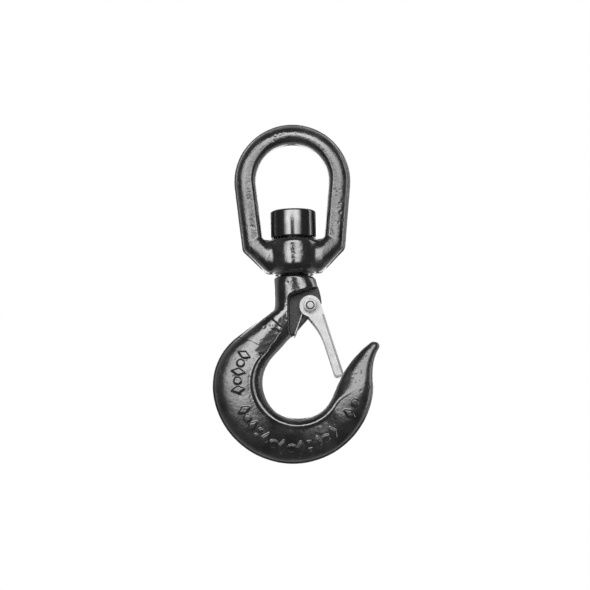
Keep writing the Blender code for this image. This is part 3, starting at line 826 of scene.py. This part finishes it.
def make_hook():
    """The forged hook, from the end of its shank to its tip."""
    hook = mesh_object("hook_forging", *ring_mesh(hook_rings()))
    soften(hook, np.full(len(hook.data.vertices), 0.3), 1)
    cut(hook, bolt_hole("bolt_hole_shape", BOLT_RADIUS + GAP, 0.02))
    pits = [
        ((-0.0160, -0.0810), (0.0060, 0.0040), 12, -1),
        ((-0.0270, -0.0960), (0.0030, 0.0060), 10, -1),
        ((-0.0030, -0.0700), (0.0010, 0.0080), 6, -1),
        ((0.0290, -0.1020), (0.0030, 0.0060), 12, -1),
        ((-0.0240, -0.1050), (0.0050, 0.0100), 16, 1),
        ((0.0220, -0.1120), (0.0050, 0.0090), 12, 1),
    ]
    forge(hook, 23, pits)
    return hook


# ---------------------------------------------------------------- collar and its pin

def make_collar():
    """The turned collar on the shank's end, with rounded rims and a hole for its lock pin."""
    low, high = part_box("collar")
    bore = SHANK_END_RADIUS + GAP
    rim = [(bore + GAP, high.z)]
    rim += quarter_round(high.x, high.z, COLLAR_TOP_ROUND, True, 10)
    rim += quarter_round(high.x, low.z, COLLAR_FOOT_ROUND, False, 8)
    rim += [(bore + GAP, low.z), (bore, low.z + GAP), (bore, high.z - GAP)]
    collar = turned_object("collar_turned", rim, steps=160, closed_loop=True)
    pin_low, pin_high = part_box("collar_lock_pin")
    hole_radius = (pin_high.z - pin_low.z) / 2 + PIN_CLEARANCE
    hole = [(hole_radius, -high.x), (hole_radius, high.x)]
    pin_z = (pin_low.z + pin_high.z) / 2
    cut(collar, turned_object("pin_hole_shape", hole, "X", (0.0, pin_z), 48))
    collar.data.set_sharp_from_angle(angle=SHARP_ANGLE)
    return collar


def make_lock_pin():
    """The rolled spring pin across the collar: a slit tube with chamfered ends."""
    low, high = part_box("collar_lock_pin")
    z, radius, half = (low.z + high.z) / 2, (high.z - low.z) / 2, high.x
    turn = np.linspace(PIN_SLIT, math.tau - PIN_SLIT, PIN_STEPS)
    end = [(half, radius - PIN_CHAMFER), (half - PIN_CHAMFER, radius)]
    rings = []
    for x, outer in [(-x, r) for x, r in end] + end[::-1]:
        outside, inside = [
            np.stack([np.full(PIN_STEPS, x), r * np.sin(turn), z + r * np.cos(turn)], axis=1)
            for r in (outer, radius - PIN_WALL)
        ]
        rings.append(np.concatenate([outside, inside[::-1]]))
    pin = mesh_object("collar_spring_pin", *ring_mesh(rings))
    pin.data.set_sharp_from_angle(angle=SHARP_ANGLE)
    return pin


# ---------------------------------------------------------------- latch and its fittings

def on_blade(along, across, y=0.0):
    """The point at these distances along and across the closed latch, from its pivot."""
    down, out = direction(BLADE_LEAN - 90), direction(BLADE_LEAN)
    return point(PIVOT, y) + along * down + across * out


def prism_object(name, outline, low_y, high_y):
    """An XZ outline drawn out along Y."""
    rings = [np.array([(p.x, y, p.z) for p in outline]) for y in (low_y, high_y)]
    return mesh_object(name, *ring_mesh(rings))


def latch_outline():
    """The side of the latch: a round ear, and a blade that narrows below it."""
    ear = arc(PIVOT, EAR_RADIUS, BLADE_LEAN, BLADE_LEAN + EAR_FOOT_TURN, 60)
    handles = [on_blade(a, b) for a, b in INNER_CURVE]
    curve = interpolate_bezier(ear[-1], *handles, 24)[1:]
    end_corner = on_blade(BLADE_LENGTH, BLADE_INNER)
    outer_end = on_blade(BLADE_LENGTH, BLADE_OUTER)
    end = fillet(handles[-1], end_corner, outer_end, SHEET, 8)
    step = on_blade(WEB_START - SHEET / 2, BLADE_OUTER)
    return ear + curve + end + [outer_end, step]


def bend_corner(side, steps=8):
    """(across, y) pairs of the waste outside the channel's rounded bend on one side."""
    turns = [math.pi / 2 * i / steps for i in range(steps + 1)]
    near, far = BLADE_OUTER - SHEET_BEND, FLANGE_HALF_WIDTH - SHEET_BEND
    bend = [(near + SHEET_BEND * math.sin(t), side * (far + SHEET_BEND * math.cos(t))) for t in turns]
    past, outside = BLADE_OUTER + SHEET, FLANGE_HALF_WIDTH + SHEET
    return bend + [(past, side * far), (past, side * outside), (near, side * outside)]


def channel_hollow(reach):
    """(across, y) pairs of the space inside the channel, open towards the hook."""
    inside, web = FLANGE_HALF_WIDTH - SHEET, BLADE_OUTER - SHEET
    round_size = SHEET_BEND - SHEET
    rounds = [(web, inside - round_size), (web - round_size, inside)]
    half = [rounds[0], rounds[1], (-reach, inside)]
    return [(a, -y) for a, y in half[::-1]] + half


def drawn_along_blade(name, section, start, end):
    """A solid of this (across, y) section between two distances along the blade."""
    rings = [np.array([tuple(on_blade(along, a, y)) for a, y in section]) for along in (start, end)]
    return mesh_object(name, *ring_mesh(rings))


def rounded_edges(piece, width, segments=3, angle=32):
    """The piece with every edge sharper than an angle rounded."""
    bevel = piece.modifiers.new("Bevel", "BEVEL")
    bevel.width = width
    bevel.segments = segments
    bevel.limit_method = "ANGLE"
    bevel.angle_limit = math.radians(angle)
    bevel.harden_normals = True
    bevel.miter_outer = "MITER_ARC"
    return applied(piece)


def make_latch():
    """The latch: a sheet channel with two ears, its bends rounded and its rims broken."""
    width = FLANGE_HALF_WIDTH
    latch = prism_object("latch_stamping", latch_outline(), -width, width)
    for side in (-1, 1):
        corner = bend_corner(side)
        cut(latch, drawn_along_blade("bend_shape", corner, WEB_START - SHEET / 3, 2 * BLADE_LENGTH))
    cut(latch, drawn_along_blade("hollow_shape", channel_hollow(BLADE_LENGTH), WEB_START, WEB_END))
    inside, reach = width - SHEET, BLADE_LENGTH
    between_ears = [(-reach, -inside), (reach, -inside), (reach, inside), (-reach, inside)]
    cut(latch, drawn_along_blade("ear_gap_shape", between_ears, -reach, WEB_START + GAP / 10))
    cut(latch, drawn_along_blade("foot_gap_shape", between_ears, WEB_END - GAP / 10, 2 * reach))
    cut(latch, bolt_hole("latch_hole_shape", LATCH_HOLE_RADIUS, 0.01))
    rounded_edges(latch, LATCH_EDGE)
    return latch


def tube(name, path, radius, resolution=6):
    """A round wire along a path, as a mesh with closed ends."""
    curve = bpy.data.curves.new(name, "CURVE")
    curve.dimensions = "3D"
    curve.bevel_depth = radius
    curve.bevel_resolution = resolution
    curve.use_fill_caps = True
    line = curve.splines.new("POLY")
    line.points.add(len(path) - 1)
    for spot, place in zip(line.points, path):
        spot.co = (*place, 1.0)
    guide = bpy.data.objects.new(name + "_line", curve)
    bpy.context.scene.collection.objects.link(guide)
    graph = bpy.context.evaluated_depsgraph_get()
    mesh = bpy.data.meshes.new_from_object(guide.evaluated_get(graph))
    bpy.data.objects.remove(guide, do_unlink=True)
    bm = bmesh.new()
    bm.from_mesh(mesh)
    bmesh.ops.remove_doubles(bm, verts=bm.verts, dist=0.00001)
    bm.to_mesh(mesh)
    bm.free()
    mesh.shade_smooth()
    piece = bpy.data.objects.new(name, mesh)
    bpy.context.scene.collection.objects.link(piece)
    return piece


def tangent_angle(target, side):
    """The angle round the pivot at which a straight wire leaves the coil for a target."""
    offset = target - point(PIVOT)
    towards = math.degrees(math.atan2(offset.z, offset.x))
    return towards + side * math.degrees(math.acos(COIL_RADIUS / offset.length))


def make_spring():
    """The spring's coils and bridge, and the two ends that lie under the latch's web."""
    bridge, foot = point(BRIDGE), on_blade(*SPRING_FOOT)
    start, end = tangent_angle(bridge, -1), tangent_angle(foot, 1)
    sweep = (start - end) % 360 + 360
    flat_share = 1 - 70 / sweep
    coil = []
    for share in np.linspace(0.0, 1.0, 121):
        y = mix(COIL_INNER_Y, COIL_OUTER_Y, min(1.0, share / flat_share))
        coil.append(point(PIVOT, y) + COIL_RADIUS * direction(start - sweep * share))
    corner = point(BRIDGE, COIL_INNER_Y)
    turn = fillet(point(BRIDGE), corner, coil[0], BRIDGE_FILLET)
    half = [*turn, *coil]
    other = [Vector((p.x, -p.y, p.z)) for p in half[::-1]]
    pieces = [tube("spring_coils", other + half, WIRE_RADIUS)]
    for name, side in (("spring_end_front", -1), ("spring_end_back", 1)):
        angles = np.linspace(end + 60, end, 21)
        wire = [point(PIVOT, side * COIL_OUTER_Y) + COIL_RADIUS * direction(a) for a in angles]
        wire.append(foot + Vector((0, side * COIL_OUTER_Y, 0)))
        pieces.append(tube(name, wire, 0.98 * WIRE_RADIUS))
    return pieces


def hexagon_object(name, low_y, high_y, side):
    """A hexagonal prism along Y on the latch's pivot, turned down to a cone on its outer face."""
    radius = NUT_FLATS / math.sqrt(3)
    past = 1.1 * radius
    corners = [point(PIVOT) + radius * direction(90 + 60 * i) for i in range(6)]
    piece = prism_object(name, corners, low_y, high_y)
    face, foot = (low_y, high_y) if side < 0 else (high_y, low_y)
    small = 0.47 * NUT_FLATS
    drop = (past - small) * math.tan(math.radians(30))
    cone = [(small, face + side * GAP / 10), (past, face - side * drop), (past, foot - side * GAP)]
    cut(piece, turned_on_bolt("cone_shape", cone), "INTERSECT")
    return piece


def make_bolt():
    """The latch's bolt: a hexagonal head at the back and a short thread at the front."""
    low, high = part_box("latch_bolt")
    thread_end = low.y + THREAD_LENGTH
    profile = [(BOLT_RADIUS - 0.00025, low.y), (BOLT_RADIUS - 0.0001, low.y + 0.0002)]
    y = low.y + 0.0004
    while y < thread_end:
        profile += [(BOLT_RADIUS, y), (BOLT_RADIUS - THREAD_DEPTH, y + THREAD_PITCH / 2)]
        y += THREAD_PITCH
    profile += [(BOLT_RADIUS, y), (BOLT_RADIUS, high.y - HEAD_HEIGHT / 2)]
    bolt = turned_on_bolt("bolt_body", profile)
    cut(bolt, hexagon_object("head_shape", high.y - HEAD_HEIGHT, high.y, 1), "UNION")
    return rounded_edges(bolt, BOLT_EDGE, 2, 38)


def make_nut():
    """The nut on the front of the bolt, countersunk at its hole."""
    low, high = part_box("latch_nut")
    nut = hexagon_object("nut_body", low.y, high.y, -1)
    hole = BOLT_RADIUS + GAP
    sink = [(hole + GAP, low.y - GAP), (hole, low.y + GAP), (hole, high.y + GAP)]
    cut(nut, turned_on_bolt("nut_hole_shape", sink))
    return rounded_edges(nut, BOLT_EDGE, 2, 38)


# ---------------------------------------------------------------- materials

class Tree:
    """The nodes of a material, a light or the world, with short ways to add to them."""

    def __init__(self, owner):
        owner.use_nodes = True
        self.nodes, self.links = owner.node_tree.nodes, owner.node_tree.links

    def feed(self, socket, value):
        """Gives a socket a constant, or links another node's output to it."""
        if isinstance(value, bpy.types.NodeSocket):
            self.links.new(value, socket)
        else:
            socket.default_value = value

    def node(self, kind, inputs=(), operation=None):
        """A new node, fed with (name, constant or output) pairs."""
        node = self.nodes.new("ShaderNode" + kind)
        if operation:
            node.operation = operation
        for name, value in inputs:
            self.feed(node.inputs[name], value)
        return node

    def maths(self, operation, *values):
        """The result of a sum on numbers."""
        return self.node("Math", enumerate(values), operation).outputs["Value"]

    def vectors(self, operation, *values):
        """The outputs of a sum on vectors."""
        return self.node("VectorMath", enumerate(values), operation).outputs

    def product(self, first, second):
        """The product of two values."""
        return self.maths("MULTIPLY", first, second)

    def axes(self, places):
        """The outputs of the three coordinates of places."""
        return self.node("SeparateXYZ", [("Vector", places)]).outputs

    def mapped(self, value, from_low, from_high, to_low=0.0, to_high=1.0):
        """A value moved linearly from one range to another, and held inside it."""
        names = ("Value", "From Min", "From Max", "To Min", "To Max")
        values = (value, from_low, from_high, to_low, to_high)
        return self.node("MapRange", zip(names, values)).outputs["Result"]

    def noise(self, places, scale, detail, stretch=(1.0, 1.0, 1.0)):
        """A cloudy value with this many waves per metre."""
        moved = self.node("Mapping", [("Scale", stretch), ("Vector", places)]).outputs["Vector"]
        clouds = self.node("TexNoise", [("Scale", scale), ("Detail", detail), ("Vector", moved)])
        return clouds.outputs["Fac"]

    def mixed(self, share, first, second):
        """A colour between two, by a share. Each is a colour or an output."""
        node = self.node("Mix")
        node.data_type = "RGBA"
        self.feed(node.inputs["Factor"], share)
        for i, colour in ((6, first), (7, second)):
            self.feed(node.inputs[i], (*colour, 1.0) if isinstance(colour, tuple) else colour)
        return node.outputs[2]

    def bumped(self, height, distance, normal=None):
        """A normal bent by a height of this many metres."""
        node = self.node("Bump", [("Distance", distance), ("Height", height)])
        if normal:
            self.feed(node.inputs["Normal"], normal)
        return node.outputs["Normal"]

    def worn_edges(self, low, high):
        """Near 1 on the sharpest outer edges of a piece, and 0 elsewhere."""
        return self.mapped(self.node("NewGeometry").outputs["Pointiness"], low, high)


def new_material(name, colour, **constants):
    """(material, tree, shader) with the values that are the same all over it."""
    material = bpy.data.materials.new(name)
    tree = Tree(material)
    shader = tree.nodes["Principled BSDF"]
    shader.inputs["Base Color"].default_value = (*colour, 1.0)
    for key, value in constants.items():
        shader.inputs[SOCKETS[key]].default_value = value
    return material, tree, shader


def in_pocket(tree, places, deep):
    """Near 1 on the floor and wall of the latch's pocket, and 0 on the rest of the hook."""
    offset = tree.vectors("SUBTRACT", places, (POCKET_MIDDLE[0], 0.0, POCKET_MIDDLE[1]))
    level = tree.vectors("MULTIPLY", offset["Vector"], (1.0, 0.0, 1.0))
    away = tree.vectors("LENGTH", level["Vector"])["Value"]
    return tree.product(tree.mapped(away, *POCKET_REACH), tree.mapped(deep, *POCKET_DEPTHS))


def in_patch(tree, places, cloud):
    """Near 1 in the sunk patch on the front of the cheek, inside an edge that a cloud makes ragged."""
    mapping = tree.node("Mapping")
    mapping.vector_type = "TEXTURE"
    tree.feed(mapping.inputs["Location"], (PATCH_CENTRE[0], -CHEEK_HALF, PATCH_CENTRE[1]))
    tree.feed(mapping.inputs["Rotation"], (0.0, -math.radians(PATCH_TURN), 0.0))
    tree.feed(mapping.inputs["Scale"], PATCH_REACH)
    tree.feed(mapping.inputs["Vector"], places)
    away = tree.vectors("LENGTH", mapping.outputs["Vector"])["Value"]
    return tree.mapped(tree.maths("ADD", away, cloud), *PATCH_EDGE)


def forged_paint(name, colour, shift, grain, gloss_places, roughnesses, side_share):
    """Gloss black paint over a forging: orange peel, fine scale under the paint, rubbed edges.

    The grain is the depth of the fine scale, which the turned boss has little of. The gloss goes
    from full to thin between the two distances to the side of the swivel axis in gloss_places,
    and the paint under it keeps side_share of its smoothness there. The paint is dull in the
    latch's pocket and in the sunk patch.
    """
    material, tree, shader = new_material(
        name, colour, roughness=0.3, metallic=0.0, specular=1.0, coat_ior=1.7, coat_roughness=0.10
    )
    places = tree.node("TexCoord").outputs["Object"]
    axes = tree.axes(places)
    sideways = tree.maths("ABSOLUTE", axes["X"])
    deep = tree.maths("ABSOLUTE", axes["Y"])
    pocket = in_pocket(tree, places, deep)
    patch = in_patch(tree, places, tree.noise(places, 700, 2))
    clean = tree.product(
        tree.mapped(pocket, 0.0, 1.0, 1.0, POCKET_GLOSS), tree.mapped(patch, 0.0, 1.0, 1.0, PATCH_GLOSS)
    )
    gloss = tree.mapped(sideways, *gloss_places, 1.0, SIDE_GLOSS)
    uneven = tree.product(gloss, tree.mapped(tree.noise(places, 90, 3), 0.35, 0.60, 0.45, 1.0))
    tree.feed(shader.inputs["Coat Weight"], tree.product(uneven, clean))
    smooth = tree.product(tree.mapped(sideways, *gloss_places, 1.0, side_share), clean)
    moved = tree.node("VectorMath", [(1, shift), (0, places)]).outputs["Vector"]
    patches = tree.noise(moved, 130, 4)
    below_floor = tree.mapped(axes["Z"], FLOOR_Z, FLOOR_Z - 0.002)
    near_axis = tree.mapped(sideways, BOSS_RADIUS, 0.7 * BOSS_RADIUS)
    turned = tree.product(below_floor, near_axis)
    depth = tree.mapped(turned, 0.0, 1.0, grain, TURNED_GRAIN * grain)
    cells = tree.node("TexVoronoi", [("Scale", 420), ("Vector", moved)]).outputs["Distance"]
    normal = tree.bumped(tree.noise(moved, 620, 3), PEEL_HEIGHT)
    normal = tree.bumped(tree.noise(moved, 2100, 5), depth, normal)
    normal = tree.bumped(tree.mapped(cells, 0.04, 0.22), PAINT_PIT_DEPTH, normal)
    tree.feed(shader.inputs["Normal"], normal)
    tree.feed(shader.inputs["Coat Normal"], normal)
    roughness = tree.mapped(patches, 0.35, 0.68, *roughnesses)
    dulled = tree.node("Mix", [("Factor", smooth), ("A", DULL_ROUGHNESS), ("B", roughness)])
    tree.feed(shader.inputs["Roughness"], dulled.outputs["Result"])
    dust = tuple(3.0 * c for c in colour)
    paint = tree.mixed(tree.mapped(patches, 0.3, 0.7), colour, dust)
    rubbed = tree.mixed(tree.worn_edges(0.56, 0.66), paint, (0.045, 0.044, 0.043))
    tree.feed(shader.inputs["Base Color"], rubbed)
    return material


def turned_paint(name, colour):
    """Gloss black paint over a turned collar, with its draw lines down the side."""
    material, tree, shader = new_material(
        name, colour, roughness=0.2, metallic=0.0, specular=1.0, coat=1.0, coat_ior=1.8, coat_roughness=0.07
    )
    places = tree.node("TexCoord").outputs["Object"]
    lines = tree.noise(places, 900, 4, (1.0, 1.0, 0.06))
    specks = tree.noise(places, 1300, 3)
    normal = tree.bumped(specks, 0.000016, tree.bumped(lines, 0.000022))
    tree.feed(shader.inputs["Normal"], normal)
    tree.feed(shader.inputs["Coat Normal"], normal)
    tree.feed(shader.inputs["Roughness"], tree.mapped(lines, 0.3, 0.7, 0.12, 0.26))
    rubbed = tree.mixed(tree.worn_edges(0.54, 0.62), colour, (0.05, 0.05, 0.049))
    tree.feed(shader.inputs["Base Color"], rubbed)
    return material


def plated(name, colour, roughness, metallic, stretch):
    """Zinc plate over steel: fine rolling lines, a cloudy tone and brighter rubbed edges."""
    material, tree, shader = new_material(name, colour, roughness=roughness, metallic=metallic)
    places = tree.node("TexCoord").outputs["Object"]
    lines = tree.noise(places, 1600, 4, stretch)
    cloud = tree.noise(places, 260, 3)
    grain = tree.noise(places, 3800, 2)
    tree.feed(shader.inputs["Normal"], tree.bumped(grain, 0.000003, tree.bumped(lines, 0.000006)))
    rough = tree.mapped(cloud, 0.3, 0.7, roughness - 0.06, roughness + 0.08)
    tree.feed(shader.inputs["Roughness"], rough)
    darker = tuple(0.86 * c for c in colour)
    tone = tree.mixed(tree.mapped(cloud, 0.3, 0.75), colour, darker)
    bright = tuple(min(1.0, 1.08 * c) for c in colour)
    tree.feed(shader.inputs["Base Color"], tree.mixed(tree.worn_edges(0.55, 0.65), tone, bright))
    return material


# ---------------------------------------------------------------- studio

CAMERA_DISTANCE = 1.2
CAMERA_ELEVATION = -7.0
CAMERA_ROLL = -1.25
VIEW_WIDTH = 0.2566
SENSOR = 36.0
FLOOR_RADIUS = 14.0
FLOOR_DROP = 0.16
FRAME_MIDDLE = (0.0001, -0.0009)
PANEL_RADIANCE = 4.6
FLOOR_RADIANCE = 3.0
PLATED_SHARE = 0.42
PAINTED = bpy.data.collections.new("painted_parts")
PLATED = bpy.data.collections.new("plated_parts")


def spot_at(azimuth, elevation, distance, centre):
    """A place this far from the centre. Azimuth 0 is in front, and 90 at the right."""
    a, e = math.radians(azimuth), math.radians(elevation)
    offset = Vector((math.sin(a) * math.cos(e), -math.cos(a) * math.cos(e), math.sin(e)))
    return centre + distance * offset


def fade_sides(light, left, right):
    """Lets a panel fade out over these shares of its width, towards its left and right sides."""
    tree = Tree(light)
    across = tree.axes(tree.node("NewGeometry").outputs["Parametric"])["X"]
    rise = tree.mapped(across, 0.0, left)
    fall = tree.mapped(across, 1.0, 1.0 - right)
    tree.feed(tree.nodes["Emission"].inputs["Strength"], tree.product(rise, fall))


def softbox(name, azimuths, elevations, radiance, centre, lit=None, distance=1.0, fades=None):
    """A soft panel that fills these azimuths and elevations as seen from the object.

    It lights the objects of one collection, or everything but without showing in gloss.
    """
    azimuth, elevation = sum(azimuths) / 2, sum(elevations) / 2
    light = bpy.data.lights.new(name, "AREA")
    light.shape = "RECTANGLE"
    light.size = 2 * distance * math.tan(math.radians(azimuths[1] - azimuths[0]) / 2)
    light.size_y = 2 * distance * math.tan(math.radians(elevations[1] - elevations[0]) / 2)
    light.energy = radiance * math.pi * light.size * light.size_y
    if fades:
        fade_sides(light, *fades)
    panel = bpy.data.objects.new(name, light)
    bpy.context.scene.collection.objects.link(panel)
    panel.location = spot_at(azimuth, elevation, distance, centre)
    panel.rotation_euler = (centre - panel.location).to_track_quat("-Z", "Y").to_euler()
    panel.visible_camera = False
    if lit:
        panel.light_linking.receiver_collection = lit
    else:
        panel.visible_glossy = False


def make_camera(centre):
    """The camera, a little below the object and looking up at it."""
    data = bpy.data.cameras.new("camera")
    data.sensor_width = SENSOR
    data.lens = SENSOR * CAMERA_DISTANCE / VIEW_WIDTH
    camera = bpy.data.objects.new("camera", data)
    bpy.context.scene.collection.objects.link(camera)
    place = spot_at(0, CAMERA_ELEVATION, CAMERA_DISTANCE, centre)
    aim = (centre - place).to_track_quat("-Z", "Y").to_matrix().to_4x4()
    roll = Matrix.Rotation(math.radians(CAMERA_ROLL), 4, "Z")
    camera.matrix_world = Matrix.Translation(place) @ aim @ roll
    bpy.context.scene.camera = camera


def make_world():
    """A white surround. Gloss sees it dark in front and behind, so that black paint stays black."""
    world = bpy.data.worlds.new("studio")
    bpy.context.scene.world = world
    tree = Tree(world)
    seen = tree.nodes["Background"]
    seen.inputs["Color"].default_value = (1.0, 1.0, 1.0, 1.0)
    depth = tree.axes(tree.node("TexCoord").outputs["Generated"])["Y"]
    rise = tree.mapped(depth, -0.05, 0.45, 0.05, 0.60)
    fall = tree.mapped(depth, 0.72, 0.95, 1.0, 0.10)
    lit = tree.node("Background", [("Strength", tree.product(rise, fall))])
    path = tree.node("LightPath").outputs
    plain = tree.maths("MAXIMUM", path["Is Camera Ray"], path["Is Diffuse Ray"])
    shown = [("Fac", plain), (1, lit.outputs["Background"]), (2, seen.outputs["Background"])]
    tree.feed(tree.nodes["World Output"].inputs["Surface"], tree.node("MixShader", shown).outputs["Shader"])


def make_floor(height):
    """A wide pale floor under the object."""
    bm = bmesh.new()
    bmesh.ops.create_circle(bm, cap_ends=True, segments=96, radius=FLOOR_RADIUS)
    mesh = bpy.data.meshes.new("floor")
    bm.to_mesh(mesh)
    bm.free()
    floor = bpy.data.objects.new("floor", mesh)
    bpy.context.scene.collection.objects.link(floor)
    floor.location.z = height
    floor.visible_glossy = False
    grey = (0.88, 0.88, 0.88)
    material, tree, shader = new_material("floor_pale", grey, roughness=0.8, metallic=0.0)
    cloud = tree.noise(tree.node("TexCoord").outputs["Object"], 3, 2)
    tree.feed(shader.inputs["Base Color"], tree.mixed(cloud, grey, (0.92, 0.92, 0.92)))
    mesh.materials.append(material)


def make_studio():
    """The camera, the surround, the floor and the soft panels."""
    centre = Vector((FRAME_MIDDLE[0], 0.0, (CAD_LOW.z + CAD_HIGH.z) / 2 + FRAME_MIDDLE[1]))
    make_camera(centre)
    make_world()
    make_floor(CAD_LOW.z - FLOOR_DROP)
    for lit, radiance in ((PAINTED, PANEL_RADIANCE), (PLATED, PLATED_SHARE * PANEL_RADIANCE)):
        ending = "_for_" + lit.name
        for elevations, share in (((0, 12), 1.0), ((-7, 0), 0.55), ((-15, -7), 0.10)):
            row = "_%d%s" % (elevations[1], ending)
            power = share * radiance
            softbox("left" + row, (-46, -11), elevations, power, centre, lit, fades=(0.6, 0.12))
            softbox("right" + row, (3, 40), elevations, 0.85 * power, centre, lit, fades=(0.12, 0.7))
        softbox("upper_panel" + ending, (-46, 40), (12, 35), radiance, centre, lit, fades=(0.3, 0.3))
        softbox("right_edge" + ending, (88, 112), (-20, 40), 0.35 * radiance, centre, lit)
        for side, azimuths in (("left", (-176, -150)), ("right", (152, 176))):
            softbox("back_%s_panel%s" % (side, ending), azimuths, (-30, 34), 0.4 * radiance, centre, lit)
    softbox("floor_panel", (-25, 25), (65, 115), FLOOR_RADIANCE, centre, distance=1.4)
    bpy.context.scene.view_settings.view_transform = "Standard"


# ---------------------------------------------------------------- assembly

def finish_piece(piece, body, nodes, material, group):
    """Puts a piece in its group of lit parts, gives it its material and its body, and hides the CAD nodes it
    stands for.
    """
    group.objects.link(piece)
    piece.data.materials.clear()
    piece.data.materials.append(material)
    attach(piece, body)
    if nodes:
        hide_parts(*nodes)


def make_object():
    """Every piece of the swivel hook."""
    bail_paint = forged_paint(
        "bail_gloss_black", BAIL_BLACK, shift=(0.0, 0.0, 0.0), grain=0.000060,
        gloss_places=(0.008, 0.015), roughnesses=(0.14, 0.32), side_share=1.0,
    )
    hook_paint = forged_paint(
        "hook_gloss_black", HOOK_BLACK, shift=(0.3, 0.1, 0.2), grain=0.000008,
        gloss_places=(0.010, 0.034), roughnesses=(0.10, 0.22), side_share=0.75,
    )
    collar_paint = turned_paint("collar_gloss_black", BAIL_BLACK)
    latch_zinc = plated("latch_bright_zinc", (0.80, 0.80, 0.81), 0.42, 0.85, (1.0, 1.0, 0.12))
    bolt_zinc = plated("bolt_bright_zinc", (0.74, 0.74, 0.75), 0.40, 0.85, (1.0, 0.2, 1.0))
    nut_zinc = plated("nut_bright_zinc", (0.76, 0.76, 0.77), 0.38, 0.85, (1.0, 0.2, 1.0))
    wire = plated("spring_bright_wire", (0.72, 0.72, 0.73), 0.28, 0.9, (1.0, 1.0, 0.2))
    pin_steel = plated("pin_dark_steel", (0.10, 0.10, 0.11), 0.35, 1.0, (0.2, 1.0, 1.0))
    finish_piece(make_bail(), "bail_body", ["bail"], bail_paint, PAINTED)
    finish_piece(make_hook(), "hook_body", ["hook"], hook_paint, PAINTED)
    finish_piece(make_collar(), "hook_body", ["collar"], collar_paint, PAINTED)
    finish_piece(make_lock_pin(), "hook_body", ["collar_lock_pin"], pin_steel, PAINTED)
    finish_piece(make_bolt(), "hook_body", ["latch_bolt"], bolt_zinc, PLATED)
    finish_piece(make_nut(), "hook_body", ["latch_nut"], nut_zinc, PLATED)
    finish_piece(make_latch(), "latch_body", ["latch"], latch_zinc, PLATED)
    coils, front_end, back_end = make_spring()
    finish_piece(coils, "hook_body", ["latch_spring"], wire, PLATED)
    finish_piece(front_end, "latch_body", [], wire, PLATED)
    finish_piece(back_end, "latch_body", [], wire, PLATED)


make_studio()
make_object()
